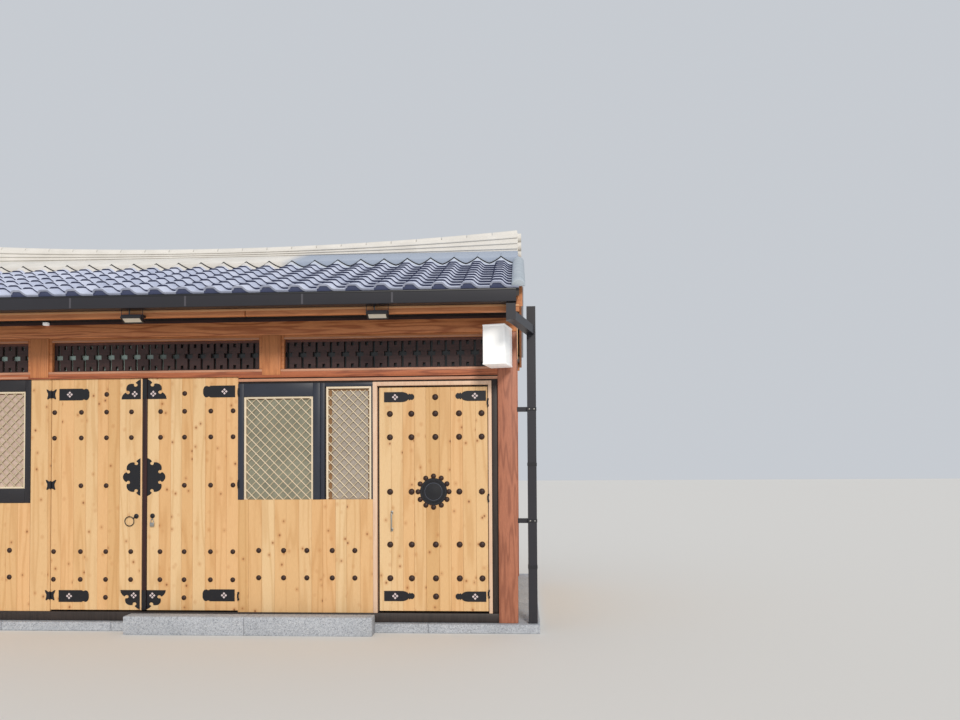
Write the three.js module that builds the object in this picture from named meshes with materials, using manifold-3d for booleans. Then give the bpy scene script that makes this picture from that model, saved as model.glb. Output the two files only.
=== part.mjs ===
// Hanok house of three bays: a timber frame on a granite plinth, a pine-clad front with a
// double gate door, two lattice windows and a single door, carved transoms, plastered side
// and back walls, board gables and a gabled roof with a plastered ridge.
// Millimetres, +Z up. The origin is the middle of the building at ground level, the front
// faces -Y and +X is to the right of someone who looks at the front.
import * as THREE from 'three';
import Module from 'manifold-3d';
import { mergeVertices } from 'three/addons/utils/BufferGeometryUtils.js';

const wasm = await Module();
wasm.setup();

// Driving dimensions
const POST = 185;               // square section of posts and depth of beams
const HALF_LENGTH = 3572.5;     // outer faces of the end posts
const HALF_DEPTH = 1550;        // front and back faces of the timber frame
const BAY_POST = 1175;          // centre of the posts between the bays
const SEAT = 0.3;               // space left under a piece that rests on a slope or a tool cut

// Ground and base
const PLINTH_TOP = 85;
const PLINTH_OUT = 60;          // plinth in front of the posts
const PLINTH_HALF_LENGTH = 3780;
const FLOOR_TOP = 175;
const STEP_DEPTH = 150;
const STEP_ENDS = [-190, 983, 2204];
const STEP_JOINT = 3;

// Heights of the timber frame
const TOP_BEAM = [2880, 3040];
const SILL_BEAM = [2475, 2545];
const HEAD_RAIL = 2427;         // underside of the rail over the right window and the door
const WINDOW_SILL = 1270;

// Infill of the front, measured along X
const INFILL_FRONT = -HALF_DEPTH + 20;
const PLANK = 45;
const FRAME_FRONT = -HALF_DEPTH + 15;
const FRAME_DEPTH = 120;
const GATE = { left: -1057, split: -129, astragal: [-122, -68], right: 838 };
const GATE_BOTTOM = 190;
const GATE_TOP = 2469;
const JAMB_STRIP = [-1272, -1063];
const WINDOW = { left: 846, right: 2171, wide: [900, 1582], narrow: [1710, 2155] };
const WIDE_SASH_TOP = 2272;
const NARROW_SASH_TOP = 2371;
const LEFT_WINDOW = { edge: -1274, sill: 1245, sashes: [1388, 2359] };
const DOOR = { left: 2235, right: 3288, bottom: 195, top: 2354 };
const DOOR_FRAME_RIGHT = 3327;
const RUNNING_GAP = 6;
const LATCH_GAP = 8;            // wider, because the free edge swings on a larger circle

// Hinges: the axis lies in front of the leaf, in the joint between leaf and frame
const HINGE_OUT = 11;           // axis in front of the planks
const KNUCKLE_RADIUS = 6;
const KNUCKLE_SIDES = 8;
const KNUCKLE_HEIGHT = 40;
const KNUCKLE_GAP = 0.3;
const TONGUE = 5;               // thickness of the plate that holds a knuckle
const BUTTERFLY = 44;           // length of the plates on the left gate leaf
const SLIM_HINGE = 18;          // length of the plates elsewhere
const GATE_HINGES = [331, 1423, 2324];
const DOOR_HINGES = [360, 1280, 2200];
const AXES = {
  gateLeft: (JAMB_STRIP[1] + GATE.left) / 2,
  gateRight: GATE.right + 3.5,
  door: DOOR.right + RUNNING_GAP / 2
};

// Transoms
const TRANSOM_THICK = 30;
const TRANSOM_FRONT = -HALF_DEPTH + 50;
const SLOT_PITCH = 122;
const SLOT_COUNT = 17;
const SLOT_WIDTH = 18;
const SLOT_ENDS = [2570, 2815];
const EYE_WIDTH = 64;
const EYE_HEIGHT = 46;

// Walls
const WALL_RECESS = 40;
const WALL = POST - WALL_RECESS;

// Roof
const ROOF_SLOPE = Math.tan(THREE.MathUtils.degToRad(22));
const EAVE_OUT = 2170;          // edge of the tiles from the middle of the house
const EAVE_TOP = 3132;
const ROOF_THICK = 50;          // measured straight down
const ROOF_HALF_LENGTH = 3600;
const ROOF_TOP = EAVE_TOP + EAVE_OUT * ROOF_SLOPE;

// Wave tiles: heights over the slope, and places across one wave as shares of its width
const WAVE_COUNT = 28;
const WAVE_ROOT = -20;          // sunk into the boards, so that both are one body
const WAVE_PAN = 28;
const WAVE_CREST = 73;
const WAVE_PROFILE = [[0, WAVE_PAN], [0.08, WAVE_CREST], [0.41, WAVE_CREST], [0.6, WAVE_PAN]];

// Eaves and gables
const FASCIA = [2045, 2085];
const FASCIA_BOTTOM = 2960;
const SOFFIT = [3065, 3085];
const WALL_PLATE = [1500, 1540];
const GABLE_PLANES = [3470, 3550];
const BARGE_THICK = 30;
const BARGE_DEPTH = 180;
const BARGE_LIP = 20;

// Ridge
const RIDGE_HALF_LENGTH = 3590;
const RIDGE_WIDTH = 190;
const RIDGE_CAP_WIDTH = 120;
const RIDGE_CAP = 55;
const RIDGE_MIDDLE = 151;       // height of the plastered courses over the roof at mid length
const RIDGE_END = 291;
const RIDGE_STEPS = 24;
const BED_HALF_WIDTH = 600;     // mortar bed that covers the upper ends of the tiles
const BED_HEIGHT = 114;

// Gutters and downspouts
const GUTTER = { outer: 2200, inner: 2085, bottom: 3016, top: 3143, back: 3080 };
const GUTTER_HALF_LENGTH = 3575;
const GUTTER_WALL = 4;
const SPOUT = 85;
const SPOUT_X = 3712.5;
const SPOUT_Y = -HALF_DEPTH + SPOUT / 2;
const SPOUT_TOP = 3120;
const SPOUT_NECK = 2890;        // height at which the slanted neck meets the pipe
const OUTLET = { x: 3528, y: -2142, bottom: 2870 };
const SPOUT_BRACKETS = [1060, 2130];

// Lamps
const LAMP_BOX = { width: 212, depth: 295, bottom: 2524, top: 2893, x: 3396, turn: -13 };
const LAMP_BOX_OUT = 178;       // middle of the box in front of the posts
const LAMP_ARM = { xs: [20, 90], zs: [-30, 30] };      // from the middle of the box
const FLOODLIGHTS = [98, 2340];
const FLOODLIGHT = { width: 190, height: 84, depth: 40, tilt: 60 };
const FLOODLIGHT_OUT = 55;      // middle of the housing in front of the fascia
const FLOODLIGHT_DROP = 20;     // and under its lower edge
const FLOODLIGHT_PLATE = [15, 40];  // heights over the middle of the housing

const FINISH = {
  pine: { color: 0xd9b071, roughness: 0.6, metalness: 0 },
  beam: { color: 0x8a4a2c, roughness: 0.6, metalness: 0 },
  darkWood: { color: 0x2b2422, roughness: 0.7, metalness: 0 },
  frame: { color: 0x2a2d38, roughness: 0.6, metalness: 0 },
  maroon: { color: 0x3a1a18, roughness: 0.5, metalness: 0 },
  sash: { color: 0xd8cba8, roughness: 0.6, metalness: 0 },
  granite: { color: 0x9aa2a8, roughness: 0.85, metalness: 0 },
  concrete: { color: 0x8d8a84, roughness: 0.9, metalness: 0 },
  plaster: { color: 0xe9e4d8, roughness: 0.9, metalness: 0 },
  gableBoard: { color: 0x7d3b26, roughness: 0.65, metalness: 0 },
  roofTile: { color: 0x7684a0, roughness: 0.5, metalness: 0 },
  ridge: { color: 0xe6e1d6, roughness: 0.9, metalness: 0 },
  gutter: { color: 0x35353b, roughness: 0.45, metalness: 0.4 },
  lamp: { color: 0xeceff0, roughness: 0.4, metalness: 0 }
};

const house = new THREE.Group();

// Adds a named mesh to the house.
function place(name, geometry, finish, position = [0, 0, 0]) {
  const mesh = new THREE.Mesh(geometry, new THREE.MeshStandardMaterial(FINISH[finish]));
  mesh.name = name;
  mesh.position.set(...position);
  house.add(mesh);
  return mesh;
}

// A box between two limits on each axis.
function block(xs, ys, zs) {
  const box = new THREE.BoxGeometry(xs[1] - xs[0], ys[1] - ys[0], zs[1] - zs[0]);
  return box.translate((xs[0] + xs[1]) / 2, (ys[0] + ys[1]) / 2, (zs[0] + zs[1]) / 2);
}

// A section drawn in Y and Z, drawn out along X between two limits.
function alongX(section, xs) {
  const shape = new THREE.Shape(section.map(([y, z]) => new THREE.Vector2(y, z)));
  const solid = new THREE.ExtrudeGeometry(shape, { depth: xs[1] - xs[0], bevelEnabled: false });
  solid.rotateY(Math.PI / 2).rotateX(Math.PI / 2);
  return toGeometry(toManifold(solid.translate(xs[0], 0, 0)));
}

// A shape drawn in X and Z, drawn out along Y between two limits.
function alongY(shape, ys) {
  const solid = new THREE.ExtrudeGeometry(shape, { depth: ys[1] - ys[0], bevelEnabled: false });
  solid.rotateX(Math.PI / 2);
  return toGeometry(toManifold(solid.translate(0, ys[1], 0)));
}

function toManifold(geometry) {
  const bare = geometry.clone();
  bare.deleteAttribute('normal');
  bare.deleteAttribute('uv');
  const merged = mergeVertices(bare, 1e-3);
  return new wasm.Manifold(new wasm.Mesh({
    numProp: 3,
    vertProperties: new Float32Array(merged.attributes.position.array),
    triVerts: new Uint32Array(merged.index.array)
  }));
}

function toGeometry(manifold) {
  const mesh = manifold.getMesh();
  const geometry = new THREE.BufferGeometry();
  geometry.setAttribute('position', new THREE.BufferAttribute(mesh.vertProperties, 3));
  geometry.setIndex(new THREE.BufferAttribute(mesh.triVerts, 1));
  geometry.computeVertexNormals();
  return geometry;
}

function joined(...geometries) {
  return toGeometry(geometries.map(toManifold).reduce((whole, piece) => whole.add(piece)));
}

function cut(geometry, ...cutters) {
  return toGeometry(cutters.map(toManifold).reduce((rest, tool) => rest.subtract(tool), toManifold(geometry)));
}

// The same limits on the other side of the middle plane.
function mirrored([low, high]) {
  return [-high, -low];
}

function knuckle(x, z, height) {
  const barrel = new THREE.CylinderGeometry(KNUCKLE_RADIUS, KNUCKLE_RADIUS, height, KNUCKLE_SIDES);
  return barrel.rotateX(Math.PI / 2).translate(x, INFILL_FRONT - HINGE_OUT, z);
}

// Plate from a knuckle to the face that carries it; reach is signed along X.
function tongue(x, z, height, reach, face) {
  const ys = [INFILL_FRONT - HINGE_OUT + KNUCKLE_RADIUS - TONGUE, face + 1];
  return block([Math.min(x, x + reach), Math.max(x, x + reach)], ys, [z - height / 2, z + height / 2]);
}

// The part of a hinge that turns with the leaf.
function movingHinge(x, z, reach) {
  return [knuckle(x, z, KNUCKLE_HEIGHT), tongue(x, z, KNUCKLE_HEIGHT, reach, INFILL_FRONT)];
}

// The two knuckles over and under it, held by the frame.
function fixedHinge(x, z, reach, face) {
  const height = KNUCKLE_HEIGHT / 2;
  const offset = KNUCKLE_HEIGHT / 2 + KNUCKLE_GAP + height / 2;
  return [z - offset, z + offset].flatMap((at) => [
    knuckle(x, at, height),
    tongue(x, at, height, reach, face)
  ]);
}

const INNER_LENGTH = HALF_LENGTH - POST;
const INNER_DEPTH = HALF_DEPTH - POST;
const FRONT_TIMBER = [-HALF_DEPTH, -INNER_DEPTH];
const BACK_TIMBER = [INNER_DEPTH, HALF_DEPTH];
const RIGHT_TIMBER = [INNER_LENGTH, HALF_LENGTH];
const PLANK_LAYER = [INFILL_FRONT, INFILL_FRONT + PLANK];
const FRAME_LAYER = [FRAME_FRONT, FRAME_FRONT + FRAME_DEPTH];

// Height of the underside of the roof at a distance from the middle of the house.
function roofUnderside(distance) {
  return ROOF_TOP - distance * ROOF_SLOPE - ROOF_THICK;
}

function addBase() {
  const plinthFront = HALF_DEPTH + PLINTH_OUT;
  const long = [-PLINTH_HALF_LENGTH, PLINTH_HALF_LENGTH];
  place('plinth', block(long, [-plinthFront, plinthFront], [0, PLINTH_TOP]), 'granite');
  const inside = [[-INNER_LENGTH, INNER_LENGTH], [-INNER_DEPTH, INNER_DEPTH]];
  place('floor_slab', block(...inside, [PLINTH_TOP, FLOOR_TOP]), 'concrete');
  const stepLayer = [-plinthFront - STEP_DEPTH, -plinthFront];
  const [start, middle, end] = STEP_ENDS;
  place('step_block_left', block([start, middle - STEP_JOINT / 2], stepLayer, [0, FLOOR_TOP]), 'granite');
  place('step_block_right', block([middle + STEP_JOINT / 2, end], stepLayer, [0, FLOOR_TOP]), 'granite');
  const sillLayer = [-HALF_DEPTH + 10, -INNER_DEPTH];
  place('base_beam_front', block(inside[0], sillLayer, [PLINTH_TOP, FLOOR_TOP]), 'darkWood');
}

function addPosts() {
  const tall = [PLINTH_TOP, TOP_BEAM[0]];
  const short = [SILL_BEAM[1], TOP_BEAM[0]];
  const bayPost = [BAY_POST - POST / 2, BAY_POST + POST / 2];
  for (const [side, turn] of [['left', mirrored], ['right', (limits) => limits]]) {
    place(`post_front_${side}`, block(turn(RIGHT_TIMBER), FRONT_TIMBER, tall), 'beam');
    place(`post_back_${side}`, block(turn(RIGHT_TIMBER), BACK_TIMBER, tall), 'beam');
    place(`post_back_middle_${side}`, block(turn(bayPost), BACK_TIMBER, tall), 'beam');
    place(`transom_post_${side}`, block(turn(bayPost), FRONT_TIMBER, short), 'beam');
    const between = [-INNER_DEPTH, INNER_DEPTH];
    place(`top_beam_${side}`, block(turn(RIGHT_TIMBER), between, TOP_BEAM), 'beam');
  }
}

function addLongBeams() {
  const full = [-HALF_LENGTH, HALF_LENGTH];
  place('top_beam_front', block(full, FRONT_TIMBER, TOP_BEAM), 'beam');
  place('top_beam_back', block(full, BACK_TIMBER, TOP_BEAM), 'beam');
  const rail = [-HALF_DEPTH + 8, FRAME_LAYER[1]];
  const lap = 10;
  place('sill_beam_front', joined(
    block([-INNER_LENGTH, INNER_LENGTH], FRONT_TIMBER, SILL_BEAM),
    block([WINDOW.left, INNER_LENGTH], rail, [HEAD_RAIL, SILL_BEAM[0] + lap])
  ), 'beam');
}

// One slot of a transom: a narrow upright cut with a wider eye at half height.
function transomSlot(x) {
  const through = [TRANSOM_FRONT - 10, TRANSOM_FRONT + TRANSOM_THICK + 10];
  const middle = (SLOT_ENDS[0] + SLOT_ENDS[1]) / 2;
  const slot = block([x - SLOT_WIDTH / 2, x + SLOT_WIDTH / 2], through, SLOT_ENDS);
  const eye = block(
    [x - EYE_WIDTH / 2, x + EYE_WIDTH / 2],
    through,
    [middle - EYE_HEIGHT / 2, middle + EYE_HEIGHT / 2]
  );
  return joined(slot, eye);
}

function transomPanel(xs) {
  const layer = [TRANSOM_FRONT, TRANSOM_FRONT + TRANSOM_THICK];
  const first = (xs[0] + xs[1]) / 2 - SLOT_PITCH * (SLOT_COUNT - 1) / 2;
  const slots = Array.from({ length: SLOT_COUNT }, (_, i) => transomSlot(first + i * SLOT_PITCH));
  return cut(block(xs, layer, [SILL_BEAM[1], TOP_BEAM[0]]), ...slots);
}

function addTransoms() {
  const nearEdge = BAY_POST - POST / 2;
  const sideBay = [BAY_POST + POST / 2, INNER_LENGTH];
  place('transom_left', transomPanel(mirrored(sideBay)), 'darkWood');
  place('transom_middle', transomPanel([-nearEdge, nearEdge]), 'darkWood');
  place('transom_right', transomPanel(sideBay), 'darkWood');
}

// A window frame with a cut for each sash. A sash at the foot of the frame has no rail below it.
function windowFrame(xs, zs, sashes) {
  const beyond = 10;
  const through = [FRAME_LAYER[0] - beyond, FRAME_LAYER[1] + beyond];
  const tools = sashes.map((sash) => {
    const foot = sash.zs[0] > zs[0] ? sash.zs[0] : zs[0] - beyond;
    return block(sash.xs, through, [foot, sash.zs[1]]);
  });
  return cut(block(xs, FRAME_LAYER, zs), ...tools);
}

// A sash: a slim frame around one pane.
function sashBody({ xs, zs }) {
  const slack = 1;
  const rim = 20;
  const paneDepth = 12;
  const [left, right] = [xs[0] + slack, xs[1] - slack];
  const top = zs[1] - slack;
  const layer = [FRAME_FRONT + 12, FRAME_FRONT + 42];
  const hollow = block(
    [left + rim, right - rim],
    [layer[0] - 5, layer[1] - paneDepth],
    [zs[0] + rim, top - rim]
  );
  return cut(block([left, right], layer, [zs[0], top]), hollow);
}

// The right window stands on its planks. The left one has the same widths, turned round.
function windowSides() {
  const shift = LEFT_WINDOW.edge + WINDOW.left;
  const toLeft = ([low, high]) => [shift - high, shift - low];
  return [{
    side: 'right',
    xs: [WINDOW.left, WINDOW.right],
    zs: [WINDOW_SILL, HEAD_RAIL],
    wide: { xs: WINDOW.wide, zs: [WINDOW_SILL, WIDE_SASH_TOP] },
    narrow: { xs: WINDOW.narrow, zs: [WINDOW_SILL, NARROW_SASH_TOP] }
  }, {
    side: 'left',
    xs: toLeft([WINDOW.left, WINDOW.right]),
    zs: [LEFT_WINDOW.sill, SILL_BEAM[0]],
    wide: { xs: toLeft(WINDOW.wide), zs: LEFT_WINDOW.sashes },
    narrow: { xs: toLeft(WINDOW.narrow), zs: LEFT_WINDOW.sashes }
  }];
}

function addWindows() {
  const [lowHinge, ...highHinges] = GATE_HINGES;
  const upperHinges = highHinges.flatMap((z) => fixedHinge(AXES.gateRight, z, SLIM_HINGE, FRAME_FRONT));
  const lowerHinge = fixedHinge(AXES.gateRight, lowHinge, SLIM_HINGE, INFILL_FRONT);
  const sides = windowSides();
  for (const { side, xs, zs, wide, narrow } of sides) {
    const frame = windowFrame(xs, zs, [wide, narrow]);
    place(`window_frame_${side}`, side === 'right' ? joined(frame, ...upperHinges) : frame, 'frame');
    place(`sash_${side}_wide`, sashBody(wide), 'sash');
    place(`sash_${side}_narrow`, sashBody(narrow), 'sash');
    const planks = block(xs, PLANK_LAYER, [FLOOR_TOP, zs[0]]);
    place(`plank_panel_${side}`, side === 'right' ? joined(planks, ...lowerHinge) : planks, 'pine');
  }
  const endPanel = [-INNER_LENGTH, sides[1].xs[0]];
  place('plank_panel_end', block(endPanel, PLANK_LAYER, [FLOOR_TOP, SILL_BEAM[0]]), 'pine');
}

function addGate() {
  const zs = [GATE_BOTTOM, GATE_TOP];
  place('gate_leaf_left', joined(
    block([GATE.left, GATE.split], PLANK_LAYER, zs),
    ...GATE_HINGES.flatMap((z) => movingHinge(AXES.gateLeft, z, BUTTERFLY))
  ), 'pine');
  place('gate_leaf_right', joined(
    block([GATE.astragal[1], GATE.right], PLANK_LAYER, zs),
    ...GATE_HINGES.flatMap((z) => movingHinge(AXES.gateRight, z, -SLIM_HINGE))
  ), 'pine');
  const proud = [INFILL_FRONT - 12, PLANK_LAYER[1]];
  place('gate_astragal', block(GATE.astragal, proud, zs), 'maroon');
  const lap = 5;
  place('gate_jamb_left', joined(
    block(JAMB_STRIP, PLANK_LAYER, [FLOOR_TOP, SILL_BEAM[0]]),
    block(JAMB_STRIP, [PLANK_LAYER[1] - lap, FRAME_LAYER[1]], [FLOOR_TOP, SILL_BEAM[0]]),
    ...GATE_HINGES.flatMap((z) => fixedHinge(AXES.gateLeft, z, -BUTTERFLY, INFILL_FRONT))
  ), 'pine');
  const jambRight = [WINDOW.left, WINDOW.wide[0]];
  const behindPlanks = [PLANK_LAYER[1], FRAME_LAYER[1]];
  place('gate_jamb_right', block(jambRight, behindPlanks, [FLOOR_TOP, WINDOW_SILL]), 'pine');
}

function addSingleDoor() {
  const outer = [WINDOW.right, DOOR_FRAME_RIGHT];
  const opening = [DOOR.left - LATCH_GAP, DOOR.right + RUNNING_GAP];
  const through = [FRAME_LAYER[0] - 10, FRAME_LAYER[1] + 10];
  const frame = cut(
    block(outer, FRAME_LAYER, [FLOOR_TOP, HEAD_RAIL]),
    block(opening, through, [FLOOR_TOP - 10, DOOR.top + RUNNING_GAP])
  );
  const frameHinges = DOOR_HINGES.flatMap((z) => fixedHinge(AXES.door, z, SLIM_HINGE, FRAME_FRONT));
  place('door_frame', joined(frame, ...frameHinges), 'pine');
  place('door_leaf', joined(
    block([DOOR.left, DOOR.right], PLANK_LAYER, [DOOR.bottom, DOOR.top]),
    ...DOOR_HINGES.flatMap((z) => movingHinge(AXES.door, z, -SLIM_HINGE))
  ), 'pine');
  const filler = [DOOR_FRAME_RIGHT, INNER_LENGTH];
  const recessed = [PLANK_LAYER[0] + 15, PLANK_LAYER[1]];
  place('door_side_filler', block(filler, recessed, [FLOOR_TOP, HEAD_RAIL]), 'darkWood');
}

function addWalls() {
  const zs = [PLINTH_TOP, TOP_BEAM[0]];
  const rightWall = [INNER_LENGTH, INNER_LENGTH + WALL];
  const between = [-INNER_DEPTH, INNER_DEPTH];
  place('wall_right', block(rightWall, between, zs), 'plaster');
  place('wall_left', block(mirrored(rightWall), between, zs), 'plaster');
  const backWall = [INNER_DEPTH, INNER_DEPTH + WALL];
  const nearEdge = BAY_POST - POST / 2;
  const sideBay = [BAY_POST + POST / 2, INNER_LENGTH];
  place('wall_back_left', block(mirrored(sideBay), backWall, zs), 'plaster');
  place('wall_back_middle', block([-nearEdge, nearEdge], backWall, zs), 'plaster');
  place('wall_back_right', block(sideBay, backWall, zs), 'plaster');
}

function gableWall(xs) {
  const half = WALL_PLATE[0] - 2;
  const base = TOP_BEAM[1];
  const shoulder = roofUnderside(half) - SEAT;
  const peak = roofUnderside(0) - SEAT;
  return alongX([[-half, base], [half, base], [half, shoulder], [0, peak], [-half, shoulder]], xs);
}

function bargeboard(xs) {
  const foot = FASCIA[1];
  const top = (distance) => ROOF_TOP - distance * ROOF_SLOPE + BARGE_LIP;
  return alongX([
    [-foot, top(foot) - BARGE_DEPTH], [0, top(0) - BARGE_DEPTH], [foot, top(foot) - BARGE_DEPTH],
    [foot, top(foot)], [0, top(0)], [-foot, top(foot)]
  ], xs);
}

function addGables() {
  const barge = [ROOF_HALF_LENGTH, ROOF_HALF_LENGTH + BARGE_THICK];
  place('gable_right', gableWall(GABLE_PLANES), 'gableBoard');
  place('gable_left', gableWall(mirrored(GABLE_PLANES)), 'gableBoard');
  place('bargeboard_right', bargeboard(barge), 'beam');
  place('bargeboard_left', bargeboard(mirrored(barge)), 'beam');
}

// Fascia, flat soffit and the plate that lies on the top beam, as one joined eave.
function eaveSection(side) {
  const [near, far] = FASCIA;
  const section = [
    [far, FASCIA_BOTTOM], [far, roofUnderside(far) - SEAT], [near, roofUnderside(near) - SEAT],
    [near, SOFFIT[1]], [WALL_PLATE[0], SOFFIT[1]], [WALL_PLATE[0], TOP_BEAM[1]],
    [WALL_PLATE[1], TOP_BEAM[1]], [WALL_PLATE[1], SOFFIT[0]], [near, SOFFIT[0]], [near, FASCIA_BOTTOM]
  ];
  return section.map(([y, z]) => [side * y, z]);
}

function roofSection(side) {
  const apex = 1;
  const section = [
    [EAVE_OUT, EAVE_TOP], [EAVE_OUT, EAVE_TOP - ROOF_THICK],
    [apex, roofUnderside(apex)], [apex, roofUnderside(apex) + ROOF_THICK]
  ];
  return section.map(([y, z]) => [side * y, z]);
}

// The wave tiles of one slope as one layer, drawn level and then slanted to the slope.
function tileWaves(side) {
  const pitch = 2 * ROOF_HALF_LENGTH / WAVE_COUNT;
  const shape = new THREE.Shape();
  shape.moveTo(ROOF_HALF_LENGTH, WAVE_ROOT);
  shape.lineTo(-ROOF_HALF_LENGTH, WAVE_ROOT);
  for (let i = 0; i < WAVE_COUNT; i++) {
    for (const [share, height] of WAVE_PROFILE) {
      shape.lineTo(-ROOF_HALF_LENGTH + (i + share) * pitch, height);
    }
  }
  shape.lineTo(ROOF_HALF_LENGTH, WAVE_PAN);
  const ys = [BED_HALF_WIDTH + SEAT, EAVE_OUT];
  const toSlope = new THREE.Matrix4().set(
    1, 0, 0, 0,
    0, 1, 0, 0,
    0, -side * ROOF_SLOPE, 1, ROOF_TOP,
    0, 0, 0, 1
  );
  return alongY(shape, side < 0 ? mirrored(ys) : ys).applyMatrix4(toSlope);
}

// Top line of the ridge: low in the middle and lifted towards both ends.
function ridgeTop(x) {
  const share = x / RIDGE_HALF_LENGTH;
  return ROOF_TOP + RIDGE_MIDDLE + (RIDGE_END - RIDGE_MIDDLE) * share * share;
}

// Courses on top of the bed, with their foot inside it.
function ridgeSlice(width, extra) {
  const shape = new THREE.Shape();
  const foot = ROOF_TOP + BED_HEIGHT / 2;
  shape.moveTo(-RIDGE_HALF_LENGTH, foot);
  shape.lineTo(RIDGE_HALF_LENGTH, foot);
  for (let i = 0; i <= RIDGE_STEPS; i++) {
    const x = RIDGE_HALF_LENGTH * (1 - 2 * i / RIDGE_STEPS);
    shape.lineTo(x, ridgeTop(x) + extra);
  }
  return alongY(shape, [-width / 2, width / 2]);
}

// A roof-shaped prism: its top follows both slopes at a height over them.
function roofPrism(reach, height, foot, halfLength) {
  const edge = ROOF_TOP - reach * ROOF_SLOPE + height;
  return alongX([
    [-reach, edge - foot], [reach, edge - foot], [reach, edge], [0, ROOF_TOP + height], [-reach, edge]
  ], [-halfLength, halfLength]);
}

function addRoof() {
  const long = [-ROOF_HALF_LENGTH, ROOF_HALF_LENGTH];
  for (const [side, sign] of [['front', -1], ['back', 1]]) {
    place(`roof_${side}`, joined(alongX(roofSection(sign), long), tileWaves(sign)), 'roofTile');
    place(`eave_${side}`, alongX(eaveSection(sign), long), 'beam');
  }
  const courses = ridgeSlice(RIDGE_WIDTH, 0);
  const cap = ridgeSlice(RIDGE_CAP_WIDTH, RIDGE_CAP);
  const bed = roofPrism(BED_HALF_WIDTH, BED_HEIGHT, BED_HEIGHT + 10, RIDGE_HALF_LENGTH);
  const boards = roofPrism(BED_HALF_WIDTH + 10, SEAT, BED_HALF_WIDTH, RIDGE_HALF_LENGTH + 10);
  place('ridge', cut(joined(courses, cap, bed), boards), 'ridge');
}

function gutter(sign) {
  const span = (near, far) => (sign < 0 ? [-far, -near] : [near, far]);
  const long = [-GUTTER_HALF_LENGTH, GUTTER_HALF_LENGTH];
  const trough = [-GUTTER_HALF_LENGTH + GUTTER_WALL, GUTTER_HALF_LENGTH - GUTTER_WALL];
  const solid = block(long, span(GUTTER.inner, GUTTER.outer), [GUTTER.bottom, GUTTER.top]);
  const inside = span(GUTTER.inner + GUTTER_WALL, GUTTER.outer - GUTTER_WALL);
  const over = GUTTER.top + 10;
  return cut(
    solid,
    block(trough, inside, [GUTTER.bottom + GUTTER_WALL, over]),
    block([-4000, 4000], span(GUTTER.inner - 10, GUTTER.outer - GUTTER_WALL), [GUTTER.back, over])
  );
}

// A slanted square tube between two points.
function slantedTube(from, to, side) {
  const start = new THREE.Vector3(...from);
  const end = new THREE.Vector3(...to);
  const along = end.clone().sub(start);
  const tube = new THREE.BoxGeometry(side, side, along.length());
  const frame = new THREE.Matrix4().lookAt(end, start, new THREE.Vector3(0, 0, 1));
  tube.applyMatrix4(frame);
  const middle = start.add(end).multiplyScalar(0.5);
  return tube.translate(middle.x, middle.y, middle.z);
}

// Outlet under the gutter, slanted neck, upright pipe and its two wall brackets.
function downspout() {
  const half = SPOUT / 2;
  const outletX = [OUTLET.x - half, OUTLET.x + half];
  const outletY = [OUTLET.y - half, OUTLET.y + half];
  const pieces = [
    block([SPOUT_X - half, SPOUT_X + half], [SPOUT_Y - half, SPOUT_Y + half], [PLINTH_TOP, SPOUT_TOP]),
    block(outletX, outletY, [OUTLET.bottom, GUTTER.bottom - SEAT]),
    slantedTube([OUTLET.x, OUTLET.y, OUTLET.bottom + half], [SPOUT_X, SPOUT_Y, SPOUT_NECK], SPOUT - 4)
  ];
  const arm = [HALF_LENGTH + SEAT, SPOUT_X];
  for (const z of SPOUT_BRACKETS) {
    pieces.push(block(arm, [SPOUT_Y - 20, SPOUT_Y + 20], [z - 22, z + 22]));
  }
  return joined(...pieces);
}

function mirrorX(geometry) {
  const copy = geometry.clone().scale(-1, 1, 1);
  const index = copy.index.array;
  for (let i = 0; i < index.length; i += 3) {
    [index[i], index[i + 1]] = [index[i + 1], index[i]];
  }
  copy.computeVertexNormals();
  return copy;
}

function addGutters() {
  place('gutter_front', gutter(-1), 'gutter');
  place('gutter_back', gutter(1), 'gutter');
  const pipe = downspout();
  place('downspout_right', pipe, 'gutter');
  place('downspout_left', mirrorX(pipe), 'gutter');
}

// Lamp housing tilted towards the yard, with the plate that holds it to the fascia.
function floodlight() {
  const half = FLOODLIGHT.width / 2;
  const housing = new THREE.BoxGeometry(FLOODLIGHT.width, FLOODLIGHT.depth, FLOODLIGHT.height);
  housing.rotateX(THREE.MathUtils.degToRad(FLOODLIGHT.tilt));
  const plate = block([-half, half], [0, FLOODLIGHT_OUT - SEAT], FLOODLIGHT_PLATE);
  return joined(housing, plate);
}

function addLamps() {
  const { width, depth, bottom, top, x, turn } = LAMP_BOX;
  const box = new THREE.BoxGeometry(width, depth, top - bottom);
  box.rotateZ(THREE.MathUtils.degToRad(turn));
  const arm = block(LAMP_ARM.xs, [0, LAMP_BOX_OUT - SEAT], LAMP_ARM.zs);
  place('lamp_box', joined(box, arm), 'lamp', [x, -HALF_DEPTH - LAMP_BOX_OUT, (bottom + top) / 2]);
  FLOODLIGHTS.forEach((lampX, i) => {
    const middle = [lampX, -FASCIA[1] - FLOODLIGHT_OUT, FASCIA_BOTTOM - FLOODLIGHT_DROP];
    place(`floodlight_${i + 1}`, floodlight(), 'gutter', middle);
  });
}

addBase();
addPosts();
addLongBeams();
addTransoms();
addWindows();
addGate();
addSingleDoor();
addWalls();
addGables();
addRoof();
addGutters();
addLamps();

export default house;
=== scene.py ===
# %% [markdown]
# # A hanok house of three bays
# This lesson dresses a small Korean house: a timber frame on granite, a front of upright pine
# boards with a double gate and a single door, latticed windows, pierced transoms and a tiled roof.
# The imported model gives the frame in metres, +Z up, with the front towards -Y. Everything new is
# modelled around it with Blender's own tools and rides on one of its bodies.

# %% Load the frame
import math
import random

import bmesh
import bpy
from mathutils import Matrix, Vector


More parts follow.
